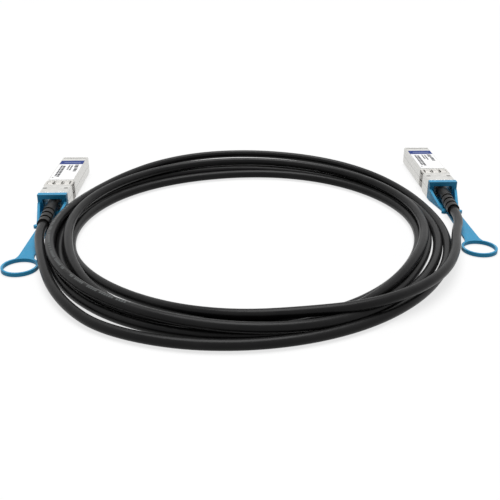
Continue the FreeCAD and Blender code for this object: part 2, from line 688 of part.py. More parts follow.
def make_boot(end):
    """Ribbed boot that narrows and leans towards the coil, held by its flange in the rear wall."""
    root = new_body("boot_root_" + end)
    neck = "(size.boot_neck / 2 - size.fit_gap)"
    flange = "(size.boot_flange / 2)"
    flange_front = "size.rear_wall + size.flange_length"
    flange_rear = "size.rear_wall + size.fit_gap"
    neck_rear = "-size.fit_gap - 0.5"
    corners = (
        ("0", flange_front),
        (flange, flange_front),
        (flange, flange_rear),
        (neck, flange_rear),
        (neck, neck_rear),
        ("0", neck_rear),
    )
    turned(root, "boot_flange", "Revolution", corners)
    settle(root)
    sleeve_end = "(size.tab_gap + size.frame_depth + size.travel + size.sleeve_margin)"
    sleeve_inset = "(size.boot_body - size.boot_sleeve) / 2"
    layers = [
        root,
        boot_layer("boot_sleeve", end, "size.fit_gap", sleeve_end, sleeve_inset),
        boot_layer("boot_body", end, sleeve_end, "size.boot_plain", "0"),
    ]
    ribs = 3
    pitch = "((size.boot_length - size.boot_plain) / %d)" % ribs
    for rib in range(ribs):
        groove_front = "size.boot_plain + %d * %s" % (rib, pitch)
        groove_rear = groove_front + " + size.rib_groove"
        rib_rear = "size.boot_plain + %d * %s" % (rib + 1, pitch)
        layers.append(boot_layer("boot_groove_%d" % rib, end, groove_front, groove_rear, "size.rib_depth"))
        layers.append(boot_layer("boot_rib_%d" % rib, end, groove_rear, rib_rear, "0"))
    moulding = doc.addObject("Part::MultiFuse", "boot_moulding_" + end)
    moulding.Shapes = layers
    boot = doc.addObject("Part::Cut", "strain_relief_boot_" + end)
    boot.Base = moulding
    boot.Tool = cable_core("boot_bore_" + end, end, flange_front + " + 1", "size.boot_length + 1")
    return boot


def make_cable_tail(end):
    """End of the cable inside the boot and the ferrule."""
    return cable_core("cable_tail_" + end, end, "size.cable_inside", "size.boot_length")


def make_screws(end):
    """Two screws from below that pull the shells together."""
    body = new_body("screw_" + end)
    spots = (("size.screw_across", "size.screw_place"),)
    head_low = "(size.nose_drop + size.run_gap)"
    head_top = "(size.nose_drop + size.run_gap + size.screw_head_height)"
    post(body, "head", spots, "size.screw_head", (head_low, head_top))
    post(body, "shank", spots, "size.screw_shank", (head_top + " - 0.1", SPLIT + " + size.screw_reach"))
    settle(body)
    return group("shell_screws_" + end, [body, mirrored("screw_twin_" + end, body)])


def make_springs(end):
    """Two folded strip springs between the rear of their rooms and the slide's ears."""
    body = new_body("spring_" + end)
    sketch = start_sketch(body, "strip_outline", "size.strap_thickness + 0.3")
    folds = 6
    rear = "(size.ear_place - size.spring_length + size.fit_gap)"
    step = "((size.spring_length - 2 * size.fit_gap - size.spring_strip) / %d)" % folds
    near_side = []
    far_side = []
    for fold in range(folds + 1):
        sign = "+" if fold % 2 else "-"
        across = "size.spring_across %s size.spring_width / 2" % sign
        along = "%s + %d * %s" % (rear, fold, step)
        near_side.append((across, along))
        far_side.append((across, along + " + size.spring_strip"))
    outline(sketch, tuple(near_side + far_side[::-1]))
    pad(body, "strip", sketch, "size.spring_height")
    settle(body)
    return group("return_springs_" + end, [body, mirrored("spring_twin_" + end, body)])


def make_latch_slide(end):
    """Steel fork: cross bar in the tab, two prongs beside the boss, ears that squeeze the springs."""
    body = new_body("latch_slide_" + end)
    upright = (SLIDE_LOW, SLIDE_TOP)
    half = "(size.slide_width / 2)"
    slot = "(size.slide_slot / 2)"
    anchor_rear = "(%s + 0.8)" % FRAME_REAR
    anchor_front = "(-size.tab_gap - 0.6)"
    sketch = start_sketch(body, "fork_outline", SLIDE_LOW)
    root = "(size.nose_length + 1)"
    right = (
        ("size.slide_anchor", anchor_rear),
        ("size.slide_anchor", anchor_front),
        (half, anchor_front),
        (half, "size.slide_front - 1.2"),
        (half + " - 0.6", "size.slide_front"),
        (slot, "size.slide_front"),
        (slot, root),
    )
    left = tuple(("-(%s)" % across, along) for across, along in reversed(right))
    outline(sketch, right + left)
    pad(body, "fork", sketch, "size.slide_sheet")
    ear = ("size.ear_place", "size.ear_place + size.slide_sheet")
    wide_block(body, "ear_root", "size.slide_ear", ear, upright)
    ears = (
        ("left", ("-size.slide_ear", "-%s - 0.25" % half)),
        ("right", (half + " + 0.25", "size.slide_ear")),
    )
    for side, edges in ears:
        block(body, "ear_" + side, edges, ear, (SLIDE_LOW, SLIDE_LOW + " + size.ear_height"))
    return settle(body)


def make_pull_tab(end):
    """Moulded pull tab: frame around the boot, sloping cheeks, strap with shoulders, finger ring."""
    body = new_body("pull_tab_" + end)
    frame = (FRAME_REAR, "-size.tab_gap")
    wide_block(body, "frame", HALF, frame, ("0", TOP))
    window = (FRAME_REAR + " - 1", "-size.tab_gap + 1")
    opening = (SLIDE_LOW, TOP + " - size.frame_bar")
    wide_block(body, "frame_window", HALF + " - size.frame_leg", window, opening, pocket)
    shoulder = "-size.shoulder_place"
    waist = "(-size.shoulder_place - size.shoulder_diameter / 2 - 0.4)"
    sketch = start_sketch(body, "strap_outline", "0")
    right = (
        (HALF, FRAME_REAR + " + 0.5"),
        (HALF, FRAME_REAR + " - 1"),
        ("size.shoulder_half", shoulder),
        ("size.strap_half", waist),
        ("size.strap_end_half", RING_MIDDLE + " + size.ring_diameter * 0.35"),
    )
    left = tuple(("-(%s)" % across, along) for across, along in reversed(right))
    outline(sketch, right + left)
    pad(body, "strap", sketch, "size.strap_thickness")
    post(body, "ring", (("0", RING_MIDDLE),), "size.ring_diameter", ("0", "size.ring_thickness"))
    hole = "size.ring_diameter - 2 * size.ring_band"
    post(body, "ring_hole", (("0", RING_MIDDLE),), hole, ("-1", "size.ring_thickness + 1"), pocket)
    shoulders = (("-size.shoulder_half", shoulder), ("size.shoulder_half", shoulder))
    post(body, "shoulders", shoulders, "size.shoulder_diameter", ("0", "size.shoulder_height"))
    for side, sign in (("left", "-1"), ("right", "1")):
        sketch = start_sketch(body, "cheek_%s_outline" % side, "0")
        cheek = (
            ("%s * %s" % (sign, HALF), FRAME_REAR + " + 0.5"),
            ("%s * %s" % (sign, HALF), FRAME_REAR + " - 1"),
            (sign + " * size.shoulder_half", shoulder),
            (sign + " * (size.shoulder_half - size.cheek_wall)", shoulder),
            ("%s * (%s - size.cheek_wall)" % (sign, HALF), FRAME_REAR + " - 1"),
            ("%s * (%s - size.cheek_wall)" % (sign, HALF), FRAME_REAR + " + 0.5"),
        )
        outline(sketch, cheek)
        pad(body, "cheek_" + side, sketch, "size.cheek_height")
    slope = (
        (FRAME_REAR, "size.cheek_height"),
        (FRAME_REAR, TOP + " + 1"),
        (shoulder + " - 3", TOP + " + 1"),
        (shoulder + " - 3", "size.shoulder_height"),
        (shoulder + " + 6", "size.shoulder_height"),
    )
    side_profile(body, "cheek_slope", slope, "-size.body_width", "2 * size.body_width", pocket)
    upright = (SLIDE_LOW, SLIDE_TOP)
    anchor = ("%s + 0.8" % FRAME_REAR, "-size.tab_gap - 0.6")
    wide_block(body, "anchor_slot", "size.slide_anchor", anchor, upright, pocket)
    return settle(body)


def lead_tube(name, points, diameter, bend):
    """Round tube along straight runs joined by tangent arcs."""
    spots = [FreeCAD.Vector(*point) for point in points]
    edges = []
    begin = spots[0]
    radii = []
    for before, corner, after in zip(spots, spots[1:], spots[2:]):
        back = (before - corner).normalize()
        ahead = (after - corner).normalize()
        turn = math.pi - back.getAngle(ahead)
        shorter = min(before.distanceToPoint(corner), corner.distanceToPoint(after))
        reach = min(0.45 * shorter, bend * math.tan(turn / 2))
        radii.append(reach / math.tan(turn / 2))
        bisector = (back + ahead).normalize()
        arc_start = corner + back * reach
        arc_end = corner + ahead * reach
        depth = radii[-1] / math.cos(turn / 2) - radii[-1]
        arc_middle = corner + bisector * depth
        edges.append(Part.LineSegment(begin, arc_start).toShape())
        edges.append(Part.Arc(arc_start, arc_middle, arc_end).toShape())
        begin = arc_end
    edges.append(Part.LineSegment(begin, spots[-1]).toShape())
    path = Part.Wire(edges)
    heading = spots[1] - spots[0]
    section = Part.Wire([Part.makeCircle(diameter / 2, spots[0], heading)])
    tube = path.makePipeShell([section], True, False)
    print(name, "radii", [round(radius, 1) for radius in radii])
    swept = math.pi * diameter**2 / 4 * path.Length
    print(name, "volume over section by length", round(tube.Volume / swept, 4))
    feature = doc.addObject("Part::Feature", name)
    feature.Shape = tube
    feature.Label = name
    return feature


def make_coil():
    """Outer shape of the coiled cable: a flat ring with bevelled upper edges."""
    height = "size.coil_height"
    rims = []
    outlines = (
        ("coil_outline", COIL_ACROSS, COIL_ALONG, COIL_MIDDLE_ACROSS, COIL_MIDDLE_ALONG),
        ("coil_eye", "size.eye_across", EYE_ALONG, "size.eye_middle_across", "size.eye_middle_along"),
    )
    for name, across, along, middle_across, middle_along in outlines:
        rim = doc.addObject("Part::Ellipse", name)
        rim.Placement = facing((0, 0, 1), 90)
        rim.setExpression("MajorRadius", along)
        rim.setExpression("MinorRadius", across)
        rim.setExpression("Placement.Base.x", middle_across)
        rim.setExpression("Placement.Base.y", middle_along)
        rims.append(rim)
    drums = []
    for rim in rims:
        drum = doc.addObject("Part::Extrusion", rim.Name + "_drum")
        drum.Base = rim
        drum.DirMode = "Custom"
        drum.Dir = FreeCAD.Vector(0, 0, 1)
        drum.setExpression("LengthFwd", height)
        drum.Solid = True
        drums.append(drum)
    ring = doc.addObject("Part::Cut", "coil_ring")
    ring.Base = drums[0]
    ring.Tool = drums[1]
    doc.recompute()
    bevelled = doc.addObject("Part::Chamfer", "cable_coil")
    bevelled.Base = ring
    bevel = float(size.get("coil_bevel"))
    flat = []
    for index, edge in enumerate(ring.Shape.Edges, start=1):
        if edge.BoundBox.ZLength < 0.01 and edge.BoundBox.ZMin > bevel:
            flat.append((index, bevel, bevel))
    bevelled.Edges = flat
    bevelled.Label = "cable_coil"
    return bevelled


def place(piece, label, end):
    """Name a piece and set it down at its end of the cable."""
    piece.Label = label
    holder = piece
    if piece.TypeId in ("Part::Loft", "Part::Cut"):
        holder = group(label, [piece])
        piece.Label = label + "_solid"
        holder.Label = label
    holder.Placement = facing((0, 0, 1), 1)
    holder.setExpression("Placement.Base.x", END_ACROSS[end])
    holder.setExpression("Placement.Base.y", "size.end_%s_along" % end)
    holder.setExpression("Placement.Rotation.Angle", "size.end_%s_turn" % end)
    return holder


MAKERS = (
    ("lower_shell", make_lower_shell),
    ("upper_shell", make_upper_shell),
    ("emi_collar", make_emi_collar),
    ("label", make_label),
    ("paddle_card", make_paddle_card),
    ("edge_contacts", make_edge_contacts),
    ("memory_chip", make_memory_chip),
    ("coupling_capacitors", make_coupling_capacitors),
    ("twinax_pairs", make_twinax_pairs),
    ("crimp_ferrule", make_crimp_ferrule),
    ("strain_relief_boot", make_boot),
    ("cable_tail", make_cable_tail),
    ("shell_screws", make_screws),
    ("return_springs", make_springs),
    ("latch_slide", make_latch_slide),
    ("pull_tab", make_pull_tab),
)

nodes = []
for end in ("a", "b"):
    for stem, maker in MAKERS:
        nodes.append(place(maker(end), "%s_%s" % (stem, end), end))
nodes.append(make_coil())
doc.recompute()


def value(formula):
    """Work a formula of the sheet out to a number."""
    return float(nodes[0].evalExpression(formula))


def boot_mouth(end, beyond):
    """Middle of the cable where it leaves the boot, or a little way beyond."""
    turn = math.radians(value("size.end_%s_turn" % end))
    lean = value(lean_at(end, "size.boot_length"))
    reach = value("size.boot_length") + beyond
    across = value(END_ACROSS[end]) + math.cos(turn) * lean + math.sin(turn) * reach
    along = value("size.end_%s_along" % end) + math.sin(turn) * lean - math.cos(turn) * reach
    return (across, along, value("size.cable_rise"))


def beside_coil(angle, outward, rise):
    """A point near the coil's outline, so far outside it and so high."""
    bearing = math.radians(angle)
    across = value(COIL_MIDDLE_ACROSS) + (value(COIL_ACROSS) + outward) * math.cos(bearing)
    along = value(COIL_MIDDLE_ALONG) + (value(COIL_ALONG) + outward) * math.sin(bearing)
    return (across, along, rise)


lead_a = (
    boot_mouth("a", 0),
    boot_mouth("a", 8),
    beside_coil(192.5, 1.8, 4.1),
    beside_coil(203.2, 0.0, 3.7),
    beside_coil(213.5, -2.0, 2.8),
)
lead_b = (
    boot_mouth("b", 0),
    boot_mouth("b", 12),
    beside_coil(-6.7, 3.4, 4.6),
    beside_coil(-17.7, -2.5, 6.0),
)
nodes.append(lead_tube("cable_lead_a", lead_a, value("size.cable_diameter"), value("size.cable_bend")))
nodes.append(lead_tube("cable_lead_b", lead_b, value("size.cable_diameter"), value("size.cable_bend")))
doc.recompute()

for thing in doc.Objects:
    if "Invalid" in thing.State or "Error" in thing.State:
        raise RuntimeError("failed " + thing.Name)
os.makedirs("parts", exist_ok=True)
for node in nodes:
    if node.Shape.isNull() or not node.Shape.isValid():
        raise RuntimeError("bad shape " + node.Label)
    node.Shape.exportStep("parts/%s.step" % node.Label)
print("wrote", len(nodes), "nodes")
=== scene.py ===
import math

import bmesh
import bpy
import numpy as np
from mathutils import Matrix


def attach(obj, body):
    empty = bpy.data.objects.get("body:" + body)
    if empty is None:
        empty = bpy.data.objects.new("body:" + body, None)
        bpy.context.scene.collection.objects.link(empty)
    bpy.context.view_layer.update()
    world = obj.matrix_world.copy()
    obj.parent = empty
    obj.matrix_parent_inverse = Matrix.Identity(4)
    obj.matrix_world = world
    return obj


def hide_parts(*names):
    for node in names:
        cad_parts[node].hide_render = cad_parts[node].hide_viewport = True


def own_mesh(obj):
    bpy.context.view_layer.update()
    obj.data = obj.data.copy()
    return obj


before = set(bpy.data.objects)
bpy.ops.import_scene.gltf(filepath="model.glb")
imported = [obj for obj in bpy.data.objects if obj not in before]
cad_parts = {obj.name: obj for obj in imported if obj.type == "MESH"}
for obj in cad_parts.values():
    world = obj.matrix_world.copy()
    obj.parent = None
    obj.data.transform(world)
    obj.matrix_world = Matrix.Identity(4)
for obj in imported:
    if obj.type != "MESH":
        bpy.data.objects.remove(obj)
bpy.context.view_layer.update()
MM = 0.001

# Where each module stands: the middle of its rear face in millimetres, and how far it is turned
MODULE_TURN = math.radians(1.3)
ENDS = {
    "a": (-94.7, -1.5, MODULE_TURN),
    "b": (94.0, 16.9, MODULE_TURN),
}
# Boxes in a module's own frame, in millimetres: half width, top, rear and front
SHELL_BOX = (6.8, 9.2, 0.0, 56.5)
LABEL_BOX = (6.1, 9.4, 18.5, 50.0)
TAB_FRAME_BOX = (6.8, 9.2, -3.2, -0.2)

# Camera in front of the coil: place, lens and film in millimetres, tilt down in degrees
CAMERA_PLACE = (-1.3, -334.1, 128.7)
CAMERA_TILT = 24.187
CAMERA_LENS = 53.54
CAMERA_FILM = 36.0
CAMERA_NEAREST = 10.0

# The cable's free ends, from each boot's mouth to the coil, in millimetres
LEAD_A = (
    (-92.67, -29.46, 4.2),
    (-92.49, -37.46, 4.2),
    (-88.6, -52.0, 4.0),
    (-83.3, -68.4, 4.4),
    (-75.9, -87.0, 3.6),
    (-65.3, -103.5, 2.6),
)
LEAD_B = (
    (93.24, -11.13, 4.2),
    (93.5, -21.5, 4.2),
    (87.0, -40.2, 5.0),
    (81.6, -61.8, 6.1),
    (72.4, -82.2, 6.9),
)
# The coil's open middle, and each turn's distance outside it and height at eight bearings:
# lengths in millimetres, bearings in degrees
EYE = (-3.7, -30.2)
EYE_HALF = (71.5, 75.0)
FIRST_BEARING = 195.0
BEARING_STEP = 45.0
TURNS = (
    ((18.6, 3.1), (24.6, 2.0), (20.8, 2.0), (16.6, 2.0), (18.0, 2.0), (26.8, 5.0), (26.0, 6.5), (12.6, 5.4)),
    ((12.3, 6.2), (15.2, 6.6), (18.3, 5.1), (12.0, 2.2), (14.5, 2.2), (18.8, 2.2), (19.6, 2.0), (14.8, 2.0)),
    ((12.2, 2.0), (16.9, 2.0), (16.2, 2.0), (7.0, 2.0), (10.7, 2.0), (10.9, 2.0), (11.0, 2.4), (10.4, 2.0)),
    ((8.2, 2.0), (13.5, 3.0), (12.1, 2.0), (5.7, 6.2), (8.8, 5.9), (12.2, 6.1), (12.6, 6.3), (8.0, 6.2)),
    ((4.8, 5.8), (10.1, 2.0), (8.2, 2.0), (3.4, 2.0), (6.6, 2.2), (6.1, 2.2), (2.1, 2.2), (3.4, 2.2)),
    ((4.0, 2.0), (2.4, 2.4), (11.8, 7.0)),
)
# Where the last turn climbs over the others towards end b: bearing, distance outside, height
CROSSING = ((299.0, 16.9, 7.6), (313.0, 19.2, 7.6))
# The cable's diameter in millimetres
CABLE_DIAMETER = 4.0
# How finely the cable is drawn: points from one bearing to the next, the smooth line's order and its
# steps from point to point, and the tube's sides
POINTS_PER_STEP = 3
LINE_ORDER = 3
LINE_STEPS = 8
TUBE_SIDES = 20


def new_mesh(name, points, faces, smooth=True):
    """A mesh from an array of points and a list of faces, shaded smooth or flat."""
    mesh = bpy.data.meshes.new(name)
    mesh.from_pydata(points.tolist(), [], faces)
    mesh.polygons.foreach_set("use_smooth", np.full(len(mesh.polygons), smooth))
    mesh.update()
    return mesh


def show(name, data):
    """An object of this data in the scene, at the origin and unturned."""
    item = bpy.data.objects.new(name, data)
    bpy.context.scene.collection.objects.link(item)
    return item


def table_camera():
    """The camera at its place, level and facing along the table, then tilted down."""
    data = bpy.data.cameras.new("camera")
    data.lens = CAMERA_LENS
    data.sensor_width = CAMERA_FILM
    data.clip_start = CAMERA_NEAREST * MM
    camera = show("camera", data)
    camera.location = [step * MM for step in CAMERA_PLACE]
    camera.rotation_euler = (math.radians(90.0 - CAMERA_TILT), 0.0, 0.0)
    return camera


bpy.context.scene.camera = table_camera()
bpy.context.scene.view_settings.view_transform = "Standard"


def at_eye(bearing, outward, rise):
    """Points at a bearing round the open middle, so far outside its ellipse and so high."""
    angle = np.radians(bearing)
    across = EYE[0] + (EYE_HALF[0] + outward) * np.cos(angle)
    along = EYE[1] + (EYE_HALF[1] + outward) * np.sin(angle)
    return np.stack(np.broadcast_arrays(across, along, rise), axis=-1)


def coil_points():
    """The turns from the second bearing on: each bearing's two values eased into the next
    with the cubic whose slope at a bearing is half the step between its neighbours."""
    stations = np.array([pair for turn in TURNS for pair in turn])
    padded = np.vstack([stations[:1], stations, stations[-1:]])
    last = len(stations) - 1
    place = np.arange(POINTS_PER_STEP, POINTS_PER_STEP * last + 1) / POINTS_PER_STEP
    index = np.minimum(place.astype(int), last - 1)
    share = (place - index)[:, None]
    before, here, after, beyond = (padded[index + step] for step in range(4))
    slope = after - before
    bend = 2 * before - 5 * here + 4 * after - beyond
    twist = 3 * here - before - 3 * after + beyond
    eased = 0.5 * (2 * here + slope * share + bend * share**2 + twist * share**3)
    rise = np.maximum(eased[:, 1], 0.5 * CABLE_DIAMETER)
    return at_eye(FIRST_BEARING + BEARING_STEP * place, eased[:, 0], rise)


def cable_line():
    """The route's smooth line from boot a to boot b: one open spline with the route as its control points."""
    crossing = at_eye(*np.array(CROSSING).T)
    route = np.vstack([np.array(LEAD_A), coil_points(), crossing, np.array(LEAD_B)[::-1]]) * MM
    curve = bpy.data.curves.new("cable_line", "CURVE")
    curve.dimensions = "3D"
    curve.resolution_u = LINE_STEPS
    spline = curve.splines.new("NURBS")
    spline.points.add(len(route) - 1)
    spline.points.foreach_set("co", np.hstack([route, np.ones((len(route), 1))]).ravel())
    spline.order_u = LINE_ORDER
    spline.use_endpoint_u = True
    guide = show("cable_line", curve)
    mesh = bpy.data.meshes.new_from_object(guide)
    line = np.empty(3 * len(mesh.vertices))
    mesh.vertices.foreach_get("co", line)
    bpy.data.meshes.remove(mesh)
    bpy.data.objects.remove(guide)
    bpy.data.curves.remove(curve)
    return line.reshape(-1, 3)


def tube_grid(line):
    """Each wall face's ring along the line and its place round the ring."""
    grids = np.meshgrid(np.arange(len(line) - 1), np.arange(TUBE_SIDES), indexing="ij")
    return [grid.ravel() for grid in grids]


def cable_tube(line, radius):
    """Tube round a line: each ring is the line's point plus the radius times cosine of the angle sideways
    and sine of it upwards, square to the line. A fan of faces from the line's end closes each mouth."""
    run = np.gradient(line, axis=0)
    run /= np.linalg.norm(run, axis=1, keepdims=True)
    side = np.cross(run, (0.0, 0.0, 1.0))
    side /= np.linalg.norm(side, axis=1, keepdims=True)
    over = np.cross(side, run)
    turn = np.arange(TUBE_SIDES)
    onward = (turn + 1) % TUBE_SIDES
    angle = turn * (2 * math.pi / TUBE_SIDES)
    sideways = np.cos(angle)[:, None] * side[:, None]
    upwards = np.sin(angle)[:, None] * over[:, None]
    rings = line[:, None] + radius * (sideways + upwards)
    points = np.vstack([rings.reshape(-1, 3), line[:1], line[-1:]])
    ring, place = tube_grid(line)
    near = ring * TUBE_SIDES
    far = near + TUBE_SIDES
    wall = np.stack([near + place, far + place, far + onward[place], near + onward[place]], 1)
    end_ring = (len(line) - 1) * TUBE_SIDES
    start_cap = np.stack([np.full(TUBE_SIDES, len(points) - 2), turn, onward], 1)
    end_cap = np.stack([np.full(TUBE_SIDES, len(points) - 1), end_ring + onward, end_ring + turn], 1)
    return new_mesh("cable", points, wall.tolist() + start_cap.tolist() + end_cap.tolist())


def map_tube(mesh, line):
    """The tube's UV map: metres travelled along the line, and the share of the way round. The caps are
    left at nought."""
    steps = np.linalg.norm(np.diff(line, axis=0), axis=1)
    travelled = np.concatenate([[0.0], np.cumsum(steps)])
    ring, place = tube_grid(line)
    here, next_ring = travelled[ring], travelled[ring + 1]
    along = np.stack([here, next_ring, next_ring, here], 1)
    round_share = np.stack([place, place, place + 1, place + 1], 1) / TUBE_SIDES
    wall = np.stack([along, round_share], -1).reshape(-1, 2)
    caps = np.zeros((len(mesh.loops) - len(wall), 2))
    layer = mesh.uv_layers.new(name="cable_way")
    layer.data.foreach_set("uv", np.vstack([wall, caps]).ravel())


line = cable_line()
cable = show("cable", cable_tube(line, 0.5 * CABLE_DIAMETER * MM))
map_tube(cable.data, line)
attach(cable, "cable_assembly")
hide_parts("cable_coil", "cable_lead_a", "cable_lead_b")


# Shader nodes, and the numbers of the sockets that a mix of colours uses
MIX_SHARE = 0
MIX_FIRST = 6
MIX_SECOND = 7
MIXED_COLOUR = 2


def fresh_tree(owner):
    """The owner's node tree, emptied."""
    owner.use_nodes = True
    owner.node_tree.nodes.clear()
    return owner.node_tree


def feed(tree, socket, value):
    """Link another socket to this one, or set its own value. A colour of three numbers is made opaque."""
    if isinstance(value, bpy.types.NodeSocket):
        tree.links.new(value, socket)
    elif socket.type == "RGBA":
        socket.default_value = (*value, 1.0)
    else:
        socket.default_value = value


def add(tree, kind, inputs=(), **settings):
    """A node with its settings and its inputs, which are named or numbered."""
    node = tree.nodes.new(kind)
    for name, value in settings.items():
        setattr(node, name, value)
    for name, value in dict(inputs).items():
        feed(tree, node.inputs[name], value)
    return node


def sums(tree, operation, *values):
    """The result of one step of arithmetic on numbers or sockets."""
    return add(tree, "ShaderNodeMath", enumerate(values), operation=operation).outputs[0]


def faded(tree, value, strength):
    """A value times its strength."""
    return sums(tree, "MULTIPLY", value, strength)


def varied(tree, value, base, gain):
    """A base plus the gain times a value."""
    return sums(tree, "MULTIPLY_ADD", value, gain, base)


def wave(tree, value, rate):
    """The sine of a value times its rate."""
    return sums(tree, "SINE", sums(tree, "MULTIPLY", value, rate))


def highest(tree, masks):
    """The largest of several masks."""
    top = masks[0]
    for mask in masks[1:]:
        top = sums(tree, "MAXIMUM", top, mask)
    return top


def ease(tree, value, low, high, start=0.0, end=1.0):
    """A smooth climb from start to end while the value goes from low to high."""
    inputs = {"Value": value, "From Min": low, "From Max": high, "To Min": start, "To Max": end}
    return add(tree, "ShaderNodeMapRange", inputs, interpolation_type="SMOOTHSTEP").outputs[0]


def tint(tree, share, first, second):
    """A colour that goes from the first to the second as the share goes from nought to one."""
    inputs = {MIX_SHARE: share, MIX_FIRST: first, MIX_SECOND: second}
    return add(tree, "ShaderNodeMix", inputs, data_type="RGBA").outputs[MIXED_COLOUR]


def parts_of(tree, vector):
    """The three numbers of a vector."""
    return list(add(tree, "ShaderNodeSeparateXYZ", {"Vector": vector}).outputs)


def stretched(tree, place, scale):
    """A place with its numbers multiplied, so that a pattern on it is finer where the scale is large."""
    return add(tree, "ShaderNodeMapping", {"Vector": place, "Scale": scale}).outputs[0]


def noise(tree, place, scale, detail, roughness):
    """Cloudy values about one half: layers of noise, each twice as fine and weaker by the roughness."""
    inputs = {"Vector": place, "Scale": scale, "Detail": detail, "Roughness": roughness}
    return add(tree, "ShaderNodeTexNoise", inputs).outputs[0]


def new_group(name, numbers, outputs):
    """A shader node group: its tree, the place and the numbers that it is given, and the values it fills."""
    tree = bpy.data.node_groups.new(name, "ShaderNodeTree")
    tree.interface.new_socket(name="Place", in_out="INPUT", socket_type="NodeSocketVector")
    for label in numbers:
        tree.interface.new_socket(name=label, in_out="INPUT", socket_type="NodeSocketFloat")
    for label in outputs:
        tree.interface.new_socket(name=label, in_out="OUTPUT", socket_type="NodeSocketFloat")
    return tree, add(tree, "NodeGroupInput").outputs, add(tree, "NodeGroupOutput").inputs


def use(tree, group, inputs):
    """The outputs of a group placed with these values."""
    return add(tree, "ShaderNodeGroup", inputs, node_tree=group).outputs


# Table, surroundings and lamp: sizes in millimetres, angles in degrees
TABLE_HALF = 4000.0
TABLE_DROP = 0.2
TABLE_CORNERS = ((-1.0, -1.0), (1.0, -1.0), (1.0, 1.0), (-1.0, 1.0))
TABLE_WHITE = (0.9, 0.9, 0.9)
TABLE_THROWN_BACK = (0.55, 0.55, 0.55)
TABLE_GLOW = 0.75
WHITE = (1.0, 1.0, 1.0)
WORLD_LIGHT = 0.22
WORLD_SEEN = 1.0
LAMP_LEAN = -12.0
LAMP_SPREAD = 44.0
LAMP_STRENGTH = 3.0


def seen_directly(tree):
    """One where the ray comes from the camera, a reflection or through glass."""
    path = add(tree, "ShaderNodeLightPath").outputs
    return highest(tree, [path["Is Camera Ray"], path["Is Glossy Ray"], path["Is Transmission Ray"]])


def table_top():
    """White table that keeps a soft shadow and throws little light back up: where it is seen, a share of
    glow is mixed into a matt white, and for other rays the matt is greyer."""
    material = bpy.data.materials.new("table_top")
    tree = fresh_tree(material)
    seen = seen_directly(tree)
    matt = add(tree, "ShaderNodeBsdfDiffuse", {"Color": tint(tree, seen, TABLE_THROWN_BACK, TABLE_WHITE)})
    glow = add(tree, "ShaderNodeEmission", {"Color": WHITE, "Strength": 1.0})
    share = faded(tree, seen, TABLE_GLOW)
    mixed = add(tree, "ShaderNodeMixShader", {0: share, 1: matt.outputs[0], 2: glow.outputs[0]})
    add(tree, "ShaderNodeOutputMaterial", {"Surface": mixed.outputs[0]})
    return material


def table():
    """A flat square just under the object: its corners are the half size each way, at one height."""
    flat = np.array(TABLE_CORNERS) * TABLE_HALF
    points = np.column_stack([flat, np.full(len(flat), -TABLE_DROP)]) * MM
    floor = show("floor", new_mesh("floor", points, [range(len(flat))], smooth=False))
    floor.data.materials.append(table_top())
    return floor


def studio_world():
    """Even pale surroundings, which look white and light the object gently."""
    world = bpy.data.worlds.new("studio")
    tree = fresh_tree(world)
    gentle = add(tree, "ShaderNodeBackground", {"Color": WHITE, "Strength": WORLD_LIGHT})
    white = add(tree, "ShaderNodeBackground", {"Color": WHITE, "Strength": WORLD_SEEN})
    seen = seen_directly(tree)
    mixed = add(tree, "ShaderNodeMixShader", {0: seen, 1: gentle.outputs[0], 2: white.outputs[0]})
    add(tree, "ShaderNodeOutputWorld", {"Surface": mixed.outputs[0]})
    return world


def lamp_over():
    """Light from a wide patch overhead: its lean from straight down, and how far it spreads."""
    data = bpy.data.lights.new("lamp_over", "SUN")
    data.energy = LAMP_STRENGTH
    data.angle = math.radians(LAMP_SPREAD)
    lamp = show("lamp_over", data)
    lamp.rotation_euler = (math.radians(LAMP_LEAN), 0.0, 0.0)


floor = table()
bpy.context.scene.world = studio_world()
lamp_over()


# Effects that several finishes share: how softly a bar's edge and a height's limit fade, in millimetres
BAR_SOFTNESS = 0.06
HEIGHT_SOFTNESS = 0.1


def grain_group():
    """Fine bumps, and slow patches of shade, from noise at two scales."""
    tree, given, made = new_group("grain", ("Fine", "Coarse"), ("Height", "Patch"))
    fine = noise(tree, given["Place"], given["Fine"], detail=4.0, roughness=0.6)
    slow = noise(tree, given["Place"], given["Coarse"], detail=3.0, roughness=0.55)
    feed(tree, made["Height"], fine)
    feed(tree, made["Patch"], ease(tree, slow, low=0.32, high=0.68))
    return tree


def edge_group():
    """A mask along the edges of a box: rubbed wear on the shells and tab, painted edge shade on the label.
    Near an edge the second smallest of the distances to its sides is small. Noise times the reach is added
    to it, and the mask falls from one at half a reach to nought at one and a half."""
    tree, given, made = new_group("edge_wear_and_shade", ("Half", "Top", "Rear", "Front", "Reach"), ("Mask",))
    x, y, z = parts_of(tree, given["Place"])
    side = sums(tree, "SUBTRACT", given["Half"], sums(tree, "ABSOLUTE", x))
    over = sums(tree, "SUBTRACT", given["Top"], z)
    from_rear = sums(tree, "SUBTRACT", y, given["Rear"])
    from_front = sums(tree, "SUBTRACT", given["Front"], y)
    ends = sums(tree, "MINIMUM", from_rear, from_front)
    lower = sums(tree, "MINIMUM", side, over)
    upper = sums(tree, "MAXIMUM", side, over)
    second = sums(tree, "MAXIMUM", lower, sums(tree, "MINIMUM", upper, ends))
    ragged = noise(tree, given["Place"], scale=1.6, detail=5.0, roughness=0.65)
    ragged_edges = varied(tree, ragged, base=second, gain=given["Reach"])
    limits = {"From Min": faded(tree, given["Reach"], 0.5), "From Max": faded(tree, given["Reach"], 1.5)}
    near = add(tree, "ShaderNodeMapRange", {"Value": ragged_edges, **limits, "To Min": 1.0, "To Max": 0.0})
    feed(tree, made["Mask"], near.outputs[0])
    return tree


